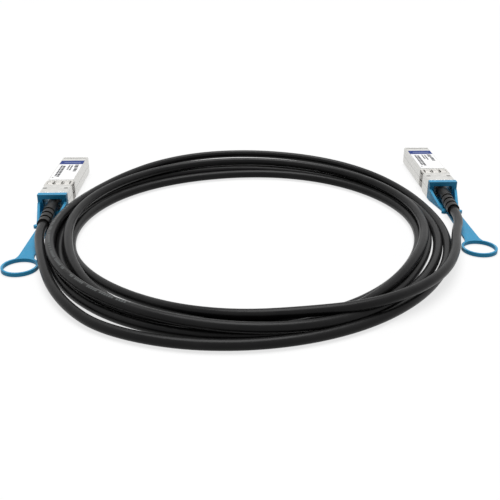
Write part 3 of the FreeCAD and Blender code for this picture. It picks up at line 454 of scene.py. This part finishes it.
def bar_group():
    """A bar: one inside a rectangle of a flat place, fading to nought across its edge. What fades is the
    larger of how far the place is past the half width and how far past the half length."""
    tree, given, made = new_group("bar", ("Across", "Along", "Half width", "Half length"), ("Mask",))
    sides = (("Across", "Half width"), ("Along", "Half length"))
    past = []
    for number, (middle, half) in zip(parts_of(tree, given["Place"]), sides):
        away = sums(tree, "ABSOLUTE", sums(tree, "SUBTRACT", number, given[middle]))
        past.append(sums(tree, "SUBTRACT", away, given[half]))
    edge = highest(tree, past)
    feed(tree, made["Mask"], ease(tree, edge, -BAR_SOFTNESS, BAR_SOFTNESS, start=1.0, end=0.0))
    return tree


def dust_group():
    """Thin dust on what faces up, thicker in patches: a mask of the upward slope times one of noise."""
    tree, given, made = new_group("dust", ("Scale",), ("Mask",))
    up = parts_of(tree, add(tree, "ShaderNodeNewGeometry").outputs["Normal"])[2]
    patches = noise(tree, given["Place"], given["Scale"], detail=6.0, roughness=0.7)
    lying = ease(tree, up, low=0.35, high=1.0)
    thick = ease(tree, patches, low=0.42, high=0.78)
    feed(tree, made["Mask"], sums(tree, "MULTIPLY", lying, thick))
    return tree


GRAIN = grain_group()
EDGES = edge_group()
BAR = bar_group()
DUST = dust_group()


def grained(tree, place, fine, coarse):
    """Bumps and patches on a place: so many fine and so many coarse ones to each of its units."""
    return use(tree, GRAIN, {"Place": place, "Fine": fine, "Coarse": coarse})


def edge_wear_and_shade(tree, place, box, reach):
    """The mask along a box's edges, so wide: rubbed wear on the shells and tab, painted edge shade on the
    label.
    """
    half, top, rear, front = box
    sizes = {"Half": half, "Top": top, "Rear": rear, "Front": front, "Reach": reach}
    return use(tree, EDGES, {"Place": place, **sizes})["Mask"]


def bar(tree, place, across, along, half_width, half_length):
    """The mask of one bar round a middle."""
    sizes = {"Across": across, "Along": along, "Half width": half_width, "Half length": half_length}
    return use(tree, BAR, {"Place": place, **sizes})["Mask"]


def bars(tree, place, middles, half_width, half_length):
    """The mask of several bars of one size: the largest of theirs."""
    return highest(tree, [bar(tree, place, *middle, half_width, half_length) for middle in middles])


def dust(tree, place, scale):
    """The mask of thin dust."""
    return use(tree, DUST, {"Place": place, "Scale": scale})["Mask"]


def finish(name, inputs=()):
    """A material with one shader, whose plain inputs are set on it directly."""
    material = bpy.data.materials.new(name)
    tree = fresh_tree(material)
    shader = add(tree, "ShaderNodeBsdfPrincipled", inputs)
    add(tree, "ShaderNodeOutputMaterial", {"Surface": shader.outputs[0]})
    return material, tree, shader.inputs


def cover(tree, shader, colour, rough, normal):
    """Give a shader its colour, its roughness and its bumps."""
    feed(tree, shader["Base Color"], colour)
    feed(tree, shader["Roughness"], rough)
    feed(tree, shader["Normal"], normal)


def bump(tree, height, strength, depth):
    """A normal that follows a height, so many millimetres deep."""
    inputs = {"Height": height, "Strength": strength, "Distance": depth * MM}
    return add(tree, "ShaderNodeBump", inputs).outputs[0]


def place_in(tree, end):
    """Place in a module's own frame, in millimetres: from the middle of its rear face, turned with it."""
    across, along, turn = ENDS[end]
    stand = {"Location": (across * MM, along * MM, 0.0), "Rotation": (0.0, 0.0, turn), "Scale": (MM, MM, MM)}
    source = add(tree, "ShaderNodeTexCoord").outputs["Object"]
    return add(tree, "ShaderNodeMapping", {"Vector": source, **stand}, vector_type="TEXTURE").outputs[0]


def above(tree, place, height):
    """Nought up to a height, and one from the height's softness over it."""
    return ease(tree, parts_of(tree, place)[2], height, height + HEIGHT_SOFTNESS)


def painted(tree, place, middles, half, height):
    """The mask of marks of one size that show above a height: their bars times that height's mask."""
    return sums(tree, "MULTIPLY", bars(tree, place, middles, *half), above(tree, place, height))


# The shells' plating: its clouds' two colours, its rubbed edges, and the painted shade in seam, slots and
# groove.
# Places are across and along in a module's own frame, and a mark is painted above its height.
NICKEL_CLOUDS = ((0.60, 0.595, 0.57), (0.66, 0.655, 0.63))
NICKEL_RUBBED = (0.82, 0.81, 0.79)
NICKEL_PAINTED_SHADE = (0.10, 0.095, 0.09)
SEAM_HEIGHT = 4.7
SLOT_PLACES = ((-5.2, 6.3), (4.9, 6.3))
SLOT_HALF = (0.95, 0.7)
SLOT_HEIGHT = 9.05
GROOVE_PLACES = ((0.0, 54.7),)
GROOVE_HALF = (6.0, 0.4)
GROOVE_HEIGHT = 8.6


def nickel_shell(end):
    """Satin plated casting: fine cast grain, cloudy plating, bright rubbed edges, and painted shade: a dark
    line at the height where the shells meet, in two small slots near the rear and in the groove across the
    nose."""
    material, tree, shader = finish("nickel_shell_" + end, {"Metallic": 0.92})
    place = place_in(tree, end)
    grain = grained(tree, place, fine=7.0, coarse=0.35)
    near_edges = edge_wear_and_shade(tree, place, SHELL_BOX, reach=0.35)
    plated = tint(tree, grain["Patch"], *NICKEL_CLOUDS)
    bright = tint(tree, faded(tree, near_edges, 0.7), plated, NICKEL_RUBBED)
    # Painted shade: a dark line at the seam, dark slots and a dark line in the groove stand in for the shade
    # in these gaps.
    from_seam = sums(tree, "ABSOLUTE", sums(tree, "SUBTRACT", parts_of(tree, place)[2], SEAM_HEIGHT))
    seam_shade = ease(tree, from_seam, low=0.04, high=0.12, start=0.75, end=0.0)
    slot_shade = painted(tree, place, SLOT_PLACES, SLOT_HALF, SLOT_HEIGHT)
    groove_shade = painted(tree, place, GROOVE_PLACES, GROOVE_HALF, GROOVE_HEIGHT)
    dark = highest(tree, [seam_shade, faded(tree, groove_shade, 0.75), slot_shade])
    colour = tint(tree, dark, bright, NICKEL_PAINTED_SHADE)
    cloudy = varied(tree, grain["Patch"], base=0.27, gain=0.06)
    rough = varied(tree, near_edges, base=cloudy, gain=-0.06)
    height = varied(tree, dark, base=grain["Height"], gain=-3.0)
    cover(tree, shader, colour, rough, bump(tree, height, strength=0.25, depth=0.03))
    return material


# The collar's sheet: its tint's two colours, and the painted shade in the gaps between its fingers, placed as
# on the shells
COLLAR_TINTS = ((0.44, 0.43, 0.41), (0.51, 0.50, 0.48))
COLLAR_GAP_SHADE = (0.07, 0.065, 0.06)
GAP_SHADE_PLACES = ((-5.1, 15.5), (-2.4, 12.6), (2.2, 12.6), (5.1, 15.5))
GAP_SHADE_HALF = (0.7, 0.5)
GAP_SHADE_HEIGHT = 9.0


def spring_steel(end):
    """Stamped spring sheet: brushed lines across, a faint warm tint in patches, and painted shade in dark
    dashes at the gaps between the fingers.
    """
    material, tree, shader = finish("spring_steel_" + end, {"Metallic": 0.7})
    place = place_in(tree, end)
    lines = grained(tree, stretched(tree, place, (0.4, 9.0, 9.0)), fine=2.2, coarse=0.3)
    sheet = tint(tree, lines["Patch"], *COLLAR_TINTS)
    # Painted shade: dark dashes in the gaps between the fingers.
    gap_shade = painted(tree, place, GAP_SHADE_PLACES, GAP_SHADE_HALF, GAP_SHADE_HEIGHT)
    colour = tint(tree, gap_shade, sheet, COLLAR_GAP_SHADE)
    rough = varied(tree, lines["Height"], base=0.58, gain=0.2)
    cover(tree, shader, colour, rough, bump(tree, lines["Height"], strength=0.3, depth=0.02))
    return material


# The label: its film's two colours, that of its painted edge shade and those of its print. Each printed
# shape is across, along, half width and half length in a module's own frame.
FILM_WHITES = ((0.87, 0.87, 0.875), (0.92, 0.92, 0.92))
FILM_EDGE_SHADE = (0.6, 0.59, 0.57)
PRINT_INK = (0.022, 0.023, 0.03)
PRINT_BLUE = (0.012, 0.034, 0.18)
PRINT_PALE_BLUE = (0.5, 0.58, 0.8)
LABEL_BAND = (0.0, 46.9, 6.3, 3.2)
LABEL_STRIPE = (0.2, 46.8, 4.3, 0.6)
LABEL_SPOT = (-4.9, 21.8, 0.4, 0.45)
LABEL_ROWS = (
    (-4.1, 33.0, 0.5, 9.0),
    (-2.7, 32.0, 0.65, 9.4),
    (-0.2, 38.4, 0.42, 4.0),
    (1.2, 37.6, 0.42, 4.6),
    (3.5, 40.4, 1.0, 2.4),
    (3.9, 34.6, 0.85, 3.0),
)
ROW_GAP_RATE = 2.4


def label_print_group():
    """The label's print as plain shapes: a band at its front with a stripe in it, a spot, and rows of bars.
    The rows are cut by gaps where a wave along the label is low."""
    tree, given, made = new_group("label_print", (), ("Band", "Stripe", "Ink"))
    place = given["Place"]
    feed(tree, made["Band"], bar(tree, place, *LABEL_BAND))
    feed(tree, made["Stripe"], bar(tree, place, *LABEL_STRIPE))
    uncut = ease(tree, wave(tree, parts_of(tree, place)[1], ROW_GAP_RATE), low=-0.9, high=-0.7)
    rows = highest(tree, [bar(tree, place, *row) for row in LABEL_ROWS])
    printed = sums(tree, "MULTIPLY", rows, uncut)
    feed(tree, made["Ink"], highest(tree, [printed, bar(tree, place, *LABEL_SPOT)]))
    return tree


LABEL_PRINT = label_print_group()


def label_sheet(end):
    """White film label: faint fibres, a deep blue band and grey print, and painted shade that greys its
    edges.
    """
    material, tree, shader = finish("label_sheet_" + end, {"Specular IOR Level": 0.08})
    place = place_in(tree, end)
    grain = grained(tree, place, fine=5.0, coarse=0.25)
    film = tint(tree, grain["Patch"], *FILM_WHITES)
    # Painted shade: the film is greyed along its edges.
    near_edges = edge_wear_and_shade(tree, place, LABEL_BOX, reach=0.25)
    ragged_edges = tint(tree, faded(tree, near_edges, 0.35), film, FILM_EDGE_SHADE)
    shapes = use(tree, LABEL_PRINT, {"Place": place})
    faint = varied(tree, grain["Height"], base=0.85, gain=0.3)
    inked = tint(tree, sums(tree, "MULTIPLY", shapes["Ink"], faint), ragged_edges, PRINT_INK)
    band = tint(tree, shapes["Band"], inked, PRINT_BLUE)
    colour = tint(tree, faded(tree, shapes["Stripe"], 0.3), band, PRINT_PALE_BLUE)
    rough = varied(tree, grain["Patch"], base=0.42, gain=0.1)
    cover(tree, shader, colour, rough, bump(tree, grain["Height"], strength=0.12, depth=0.01))
    return material


# The pull tab's plastic: its clouds' two colours, its rubbed edges and its dust
TAB_BLUES = ((0.020, 0.245, 0.445), (0.028, 0.275, 0.485))
TAB_RUBBED = (0.16, 0.45, 0.64)
TAB_DUST = (0.7, 0.72, 0.72)


def tab_plastic(end):
    """Moulded blue plastic: fine spark texture, cloudy colour, paler rubbed edges on the frame, thin dust."""
    material, tree, shader = finish("tab_plastic_" + end, {"Specular IOR Level": 0.16})
    place = place_in(tree, end)
    grain = grained(tree, place, fine=6.0, coarse=0.16)
    near_edges = edge_wear_and_shade(tree, place, TAB_FRAME_BOX, reach=0.4)
    dyed = tint(tree, grain["Patch"], *TAB_BLUES)
    pale = tint(tree, faded(tree, near_edges, 0.45), dyed, TAB_RUBBED)
    colour = tint(tree, faded(tree, dust(tree, place, scale=0.9), 0.06), pale, TAB_DUST)
    rough = varied(tree, grain["Patch"], base=0.38, gain=0.1)
    cover(tree, shader, colour, rough, bump(tree, grain["Height"], strength=0.22, depth=0.02))
    return material


# The cable's jacket: its skin's two colours, its dust and its print. The print has blocks of one pitch, each
# filling a share of it, of which a share is left out. Its stretches are placed along and round the cable.
JACKET_BLACKS = ((0.0065, 0.0065, 0.0068), (0.0105, 0.0104, 0.0106))
JACKET_DUST = (0.5, 0.5, 0.5)
JACKET_MARK = (0.42, 0.45, 0.45)
MARK_PITCH = 1.2
MARK_FILLED = 0.72
MARKS_LEFT_OUT = 0.42
MARK_STRETCHES = ((612.0, 2.9), (1522.0, 9.2), (2432.0, 10.5))
STRETCH_HALF = (68.0, 0.5)


def jacket_marks(tree, way):
    """Pale print along the jacket: short blocks of uneven spacing on one line of the jacket,
    in stretches nearly a metre apart, each on another side as the cable twists."""
    pitches = sums(tree, "DIVIDE", parts_of(tree, way)[0], MARK_PITCH)
    chance = add(tree, "ShaderNodeTexWhiteNoise", {"W": sums(tree, "FLOOR", pitches)}, noise_dimensions="1D")
    block = sums(tree, "LESS_THAN", sums(tree, "FRACT", pitches), MARK_FILLED)
    printed = sums(tree, "GREATER_THAN", chance.outputs["Value"], MARKS_LEFT_OUT)
    blocks = sums(tree, "MULTIPLY", block, printed)
    return sums(tree, "MULTIPLY", bars(tree, way, MARK_STRETCHES, *STRETCH_HALF), blocks)


def cable_jacket():
    """Black satin jacket: fine skin, faint lines along from its making, soft dust, pale print.
    The way along and round the cable is its UV map times a metre and the cable's girth, in millimetres."""
    material, tree, shader = finish("cable_jacket", {"Specular IOR Level": 0.12})
    source = add(tree, "ShaderNodeUVMap", uv_map="cable_way").outputs[0]
    way = stretched(tree, source, (1.0 / MM, math.pi * CABLE_DIAMETER, 1.0))
    place = add(tree, "ShaderNodeTexCoord").outputs["Object"]
    skin = grained(tree, place, fine=5200.0, coarse=70.0)
    lines = grained(tree, stretched(tree, way, (0.03, 2.6, 1.0)), fine=1.4, coarse=0.4)
    black = tint(tree, skin["Patch"], *JACKET_BLACKS)
    soft = tint(tree, faded(tree, dust(tree, place, scale=260.0), 0.012), black, JACKET_DUST)
    colour = tint(tree, faded(tree, jacket_marks(tree, way), 0.17), soft, JACKET_MARK)
    satin = varied(tree, skin["Patch"], base=0.24, gain=0.08)
    rough = varied(tree, lines["Height"], base=satin, gain=0.08)
    height = varied(tree, lines["Height"], base=skin["Height"], gain=0.8)
    cover(tree, shader, colour, rough, bump(tree, height, strength=0.2, depth=0.02))
    return material


# The boots' rubber: its skin's two colours and its dust
RUBBER_BLACKS = ((0.008, 0.0076, 0.0074), (0.0125, 0.012, 0.0115))
RUBBER_DUST = (0.45, 0.43, 0.42)


def boot_rubber(end):
    """Matt black rubber: sandy mould skin, greyer where dust lies on the ribs."""
    material, tree, shader = finish("boot_rubber_" + end, {"Specular IOR Level": 0.14})
    place = place_in(tree, end)
    grain = grained(tree, place, fine=8.0, coarse=0.5)
    black = tint(tree, grain["Patch"], *RUBBER_BLACKS)
    colour = tint(tree, faded(tree, dust(tree, place, scale=0.8), 0.02), black, RUBBER_DUST)
    rough = varied(tree, grain["Patch"], base=0.3, gain=0.12)
    cover(tree, shader, colour, rough, bump(tree, grain["Height"], strength=0.35, depth=0.03))
    return material


# The board: its lacquer's two colours, its tracks, and the rates of its waves for each millimetre
BOARD_GREENS = ((0.008, 0.075, 0.03), (0.012, 0.095, 0.038))
BOARD_TRACK = (0.035, 0.2, 0.075)
WEAVE_RATE = 16.0
TRACK_RATE = 4.2
TRACK_BEND_RATE = 0.35
TRACK_BEND = 0.9


def circuit_board(end):
    """Green board: paler tracks along it where a wave across is high, woven glass under the lacquer.
    The weave is one wave across times one along, and the tracks bend with a slower wave along."""
    material, tree, shader = finish("circuit_board_" + end, {"Coat Weight": 0.5, "Coat Roughness": 0.12})
    place = place_in(tree, end)
    grain = grained(tree, place, fine=4.0, coarse=0.6)
    x, y = parts_of(tree, place)[:2]
    weave = sums(tree, "MULTIPLY", wave(tree, x, WEAVE_RATE), wave(tree, y, WEAVE_RATE))
    bent = varied(tree, wave(tree, y, TRACK_BEND_RATE), base=faded(tree, x, TRACK_RATE), gain=TRACK_BEND)
    track = ease(tree, sums(tree, "SINE", bent), low=0.55, high=0.75)
    green = tint(tree, grain["Patch"], *BOARD_GREENS)
    colour = tint(tree, faded(tree, track, 0.7), green, BOARD_TRACK)
    rough = varied(tree, grain["Patch"], base=0.32, gain=0.1)
    height = varied(tree, track, base=faded(tree, weave, 0.4), gain=2.0)
    cover(tree, shader, colour, rough, bump(tree, height, strength=0.3, depth=0.02))
    return material


# Bare metals: two colours, roughness, and how fine their lines are across, along and upwards
BARE_METALS = {
    "gold_contact": ((0.80, 0.55, 0.19), (0.86, 0.62, 0.25), 0.16, (6.0, 0.5, 6.0)),
    "crimp_metal": ((0.60, 0.56, 0.48), (0.70, 0.66, 0.58), 0.22, (0.6, 7.0, 0.6)),
    "spring_wire": ((0.55, 0.55, 0.56), (0.64, 0.64, 0.64), 0.2, (0.6, 6.0, 6.0)),
    "slide_steel": ((0.58, 0.575, 0.56), (0.66, 0.655, 0.64), 0.26, (7.0, 0.4, 7.0)),
}


def drawn_metal(name, end):
    """Bare metal with fine lines along the way it was drawn or stamped."""
    first, second, smoothest, fineness = BARE_METALS[name]
    material, tree, shader = finish("%s_%s" % (name, end), {"Metallic": 1.0})
    place = place_in(tree, end)
    lines = grained(tree, stretched(tree, place, fineness), fine=2.0, coarse=0.4)
    colour = tint(tree, lines["Patch"], first, second)
    rough = varied(tree, lines["Height"], base=smoothest, gain=0.25)
    cover(tree, shader, colour, rough, bump(tree, lines["Height"], strength=0.3, depth=0.02))
    return material


# The screws: their plating's two colours, the painted shade in each head's cross recess, and the heads'
# places in a module's own frame
ZINC_GREYS = ((0.52, 0.52, 0.53), (0.62, 0.62, 0.61))
CROSS_RECESS_SHADE = (0.05, 0.05, 0.05)
SCREW_PLACES = ((-4.9, 20.5), (4.9, 20.5))
CROSS_ARM = 0.75
CROSS_HALF = 0.17


def screw_steel(end):
    """Zinc plated screws with painted shade in the cross recess of each head: one bar across and one along.
    """
    material, tree, shader = finish("screw_steel_" + end, {"Metallic": 1.0})
    place = place_in(tree, end)
    grain = grained(tree, place, fine=6.0, coarse=0.9)
    # Painted shade: a dark cross in each head's recess.
    across = bars(tree, place, SCREW_PLACES, CROSS_ARM, CROSS_HALF)
    along = bars(tree, place, SCREW_PLACES, CROSS_HALF, CROSS_ARM)
    cross = highest(tree, [across, along])
    zinc = tint(tree, grain["Patch"], *ZINC_GREYS)
    colour = tint(tree, cross, zinc, CROSS_RECESS_SHADE)
    rough = varied(tree, cross, base=0.32, gain=0.3)
    height = varied(tree, cross, base=grain["Height"], gain=-4.0)
    cover(tree, shader, colour, rough, bump(tree, height, strength=0.3, depth=0.05))
    return material


# Moulded or fired cases: two colours and roughness
CHIP_CASES = {
    "chip_plastic": ((0.016, 0.016, 0.017), (0.026, 0.026, 0.027), 0.5),
    "chip_ceramic": ((0.30, 0.21, 0.13), (0.40, 0.29, 0.19), 0.45),
}


def moulded_chip(name, end):
    """Moulded or fired case: sandy skin and cloudy colour."""
    first, second, smoothest = CHIP_CASES[name]
    material, tree, shader = finish("%s_%s" % (name, end))
    place = place_in(tree, end)
    grain = grained(tree, place, fine=9.0, coarse=1.1)
    colour = tint(tree, grain["Patch"], first, second)
    rough = varied(tree, grain["Patch"], base=smoothest, gain=0.12)
    cover(tree, shader, colour, rough, bump(tree, grain["Height"], strength=0.3, depth=0.02))
    return material


# The pairs' foil: its two colours, its laps, and how many laps go to a millimetre each way
FOIL_GREYS = ((0.58, 0.6, 0.64), (0.68, 0.7, 0.73))
FOIL_LAP = (0.3, 0.31, 0.34)
LAPS_ALONG = 0.45
LAPS_SLANTED = 0.35


def wire_insulation(end):
    """Foil wrapped pairs: slanting laps of foil, a darker line at each lap. A lap starts wherever the places
    along and across, times their laps, add up to a whole number."""
    material, tree, shader = finish("wire_insulation_" + end, {"Metallic": 0.55})
    place = place_in(tree, end)
    grain = grained(tree, place, fine=6.0, coarse=0.7)
    x, y, z = parts_of(tree, place)
    laps = varied(tree, sums(tree, "ADD", x, z), base=faded(tree, y, LAPS_ALONG), gain=LAPS_SLANTED)
    slant = sums(tree, "FRACT", laps)
    lap = ease(tree, slant, low=0.0, high=0.12, start=1.0, end=0.0)
    foil = tint(tree, grain["Patch"], *FOIL_GREYS)
    colour = tint(tree, lap, foil, FOIL_LAP)
    rough = varied(tree, grain["Height"], base=0.28, gain=0.2)
    height = sums(tree, "ADD", slant, grain["Height"])
    cover(tree, shader, colour, rough, bump(tree, height, strength=0.3, depth=0.04))
    return material


# How the frame's facets are joined and its edges rounded: lengths in millimetres, angles in radians
WELD = 0.001
FLAT_ANGLE = math.radians(1.0)
SHARP_ANGLE = math.radians(25.0)
SHELL_ROUNDING = 0.25
MOULDED_ROUNDING = 0.35
ROUNDING_STEPS = 3


def dress(node, material):
    """Give a piece of the frame its finish."""
    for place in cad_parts[node].material_slots:
        place.material = material


def joined(node, body, material):
    """The piece again with its facets joined into whole faces, and shaded smooth except at sharp angles."""
    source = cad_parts[node]
    shape = bmesh.new()
    shape.from_mesh(source.data)
    bmesh.ops.remove_doubles(shape, verts=shape.verts, dist=WELD * MM)
    bmesh.ops.dissolve_limit(shape, angle_limit=FLAT_ANGLE, verts=shape.verts, edges=shape.edges)
    mesh = bpy.data.meshes.new(node + "_joined")
    shape.to_mesh(mesh)
    shape.free()
    mesh.transform(source.matrix_world)
    mesh.polygons.foreach_set("use_smooth", np.full(len(mesh.polygons), True))
    mesh.set_sharp_from_angle(angle=SHARP_ANGLE)
    mesh.materials.clear()
    mesh.materials.append(material)
    piece = show(node + "_joined", mesh)
    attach(piece, body)
    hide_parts(node)
    return piece


def rounded(node, body, material, width):
    """The piece joined, with its edges rounded by so many millimetres."""
    piece = joined(node, body, material)
    bevel = piece.modifiers.new("edges", "BEVEL")
    bevel.width = width * MM
    bevel.segments = ROUNDING_STEPS
    bevel.limit_method = "ANGLE"
    bevel.angle_limit = SHARP_ANGLE
    bevel.harden_normals = True
    return piece


def on_table(points, end):
    """Points of a module's own frame as places on the table, in metres: turned with the module, then moved
    to where it stands."""
    across, along, turn = ENDS[end]
    turned = np.array(((math.cos(turn), math.sin(turn)), (-math.sin(turn), math.cos(turn))))
    return (np.array(points) @ turned + (across, along)) * MM


# The finger ring: its middle from the module's rear face, its hole's radius in the frame and as moulded,
# and how far a point of the hole's wall may be off that radius
RING_MIDDLE = -64.6
RING_HOLE = 6.0
RING_HOLE_MOULDED = 6.5
RING_SLACK = 0.1
# The web in the corner of strap and ring: its hollow edge's start, pull and end, and its corners inside them,
# from the ring's middle
WEB_EDGE = ((3.2, 11.0), (3.75, 7.2), (5.9, 4.5))
WEB_ROOT = ((5.4, 4.3), (2.9, 6.26), (2.6, 11.0))
WEB_HEIGHTS = (0.0, 0.985)
WEB_EDGE_POINTS = 9


def slim_ring(tab, end):
    """The ring's band made slimmer: points of the hole's wall move out from the ring's middle in one
    proportion."""
    middle = on_table((0.0, RING_MIDDLE), end)
    points = np.empty(3 * len(tab.data.vertices))
    tab.data.vertices.foreach_get("co", points)
    points = points.reshape(-1, 3)
    outward = points[:, :2] - middle
    wall = np.linalg.norm(outward, axis=1) < (RING_HOLE + RING_SLACK) * MM
    points[wall, :2] = middle + outward[wall] * (RING_HOLE_MOULDED / RING_HOLE)
    tab.data.vertices.foreach_set("co", points.ravel())
    tab.data.update()


def web_mesh(side, end):
    """The web on one side of the strap, an outline carried from one height to the other. Its hollow edge is
    a parabola: the start, pull and end points weighted by (1 - s) squared, twice s (1 - s) and s squared."""
    share = np.linspace(0.0, 1.0, WEB_EDGE_POINTS)[:, None]
    start, pull, stop = np.array(WEB_EDGE)
    edge = (1 - share) ** 2 * start + 2 * share * (1 - share) * pull + share**2 * stop
    outline = np.vstack([edge, WEB_ROOT]) * (side, 1.0) + (0.0, RING_MIDDLE)
    plan = on_table(outline, end)
    points = np.vstack([np.insert(plan, 2, height * MM, axis=1) for height in WEB_HEIGHTS])
    low = np.arange(len(plan))
    high = low + len(plan)
    walls = np.stack([low, np.roll(low, -1), np.roll(high, -1), high], 1)
    return new_mesh("ring_web", points, [low.tolist(), high.tolist(), *walls.tolist()])


def ring_webs(tab, end):
    """A flat web in each corner of strap and ring, its faces turned outwards, added to the tab's mesh."""
    shape = bmesh.new()
    shape.from_mesh(tab.data)
    moulded = len(shape.faces)
    for side in (-1.0, 1.0):
        web = web_mesh(side, end)
        shape.from_mesh(web)
        bpy.data.meshes.remove(web)
    bmesh.ops.recalc_face_normals(shape, faces=shape.faces[moulded:])
    shape.to_mesh(tab.data)
    shape.free()
    tab.data.set_sharp_from_angle(angle=SHARP_ANGLE)


def squeezed_springs(end, material):
    """The two return springs, joined with their finish, in a mesh of their own."""
    piece = joined("return_springs_" + end, "cable_assembly", material)
    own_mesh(piece)


cable.data.materials.append(cable_jacket())
for end in "ab":
    nickel = nickel_shell(end)
    rubber = boot_rubber(end)
    rounded("upper_shell_" + end, "cable_assembly", nickel, SHELL_ROUNDING)
    rounded("lower_shell_" + end, "cable_assembly", nickel, SHELL_ROUNDING)
    tab = rounded("pull_tab_" + end, "tab_" + end, tab_plastic(end), MOULDED_ROUNDING)
    slim_ring(tab, end)
    ring_webs(tab, end)
    rounded("strain_relief_boot_" + end, "cable_assembly", rubber, MOULDED_ROUNDING)
    squeezed_springs(end, drawn_metal("spring_wire", end))
    finishes = {
        "emi_collar": spring_steel(end),
        "label": label_sheet(end),
        "paddle_card": circuit_board(end),
        "edge_contacts": drawn_metal("gold_contact", end),
        "memory_chip": moulded_chip("chip_plastic", end),
        "coupling_capacitors": moulded_chip("chip_ceramic", end),
        "twinax_pairs": wire_insulation(end),
        "crimp_ferrule": drawn_metal("crimp_metal", end),
        "cable_tail": rubber,
        "shell_screws": screw_steel(end),
        "latch_slide": drawn_metal("slide_steel", end),
    }
    for node, material in finishes.items():
        dress("%s_%s" % (node, end), material)
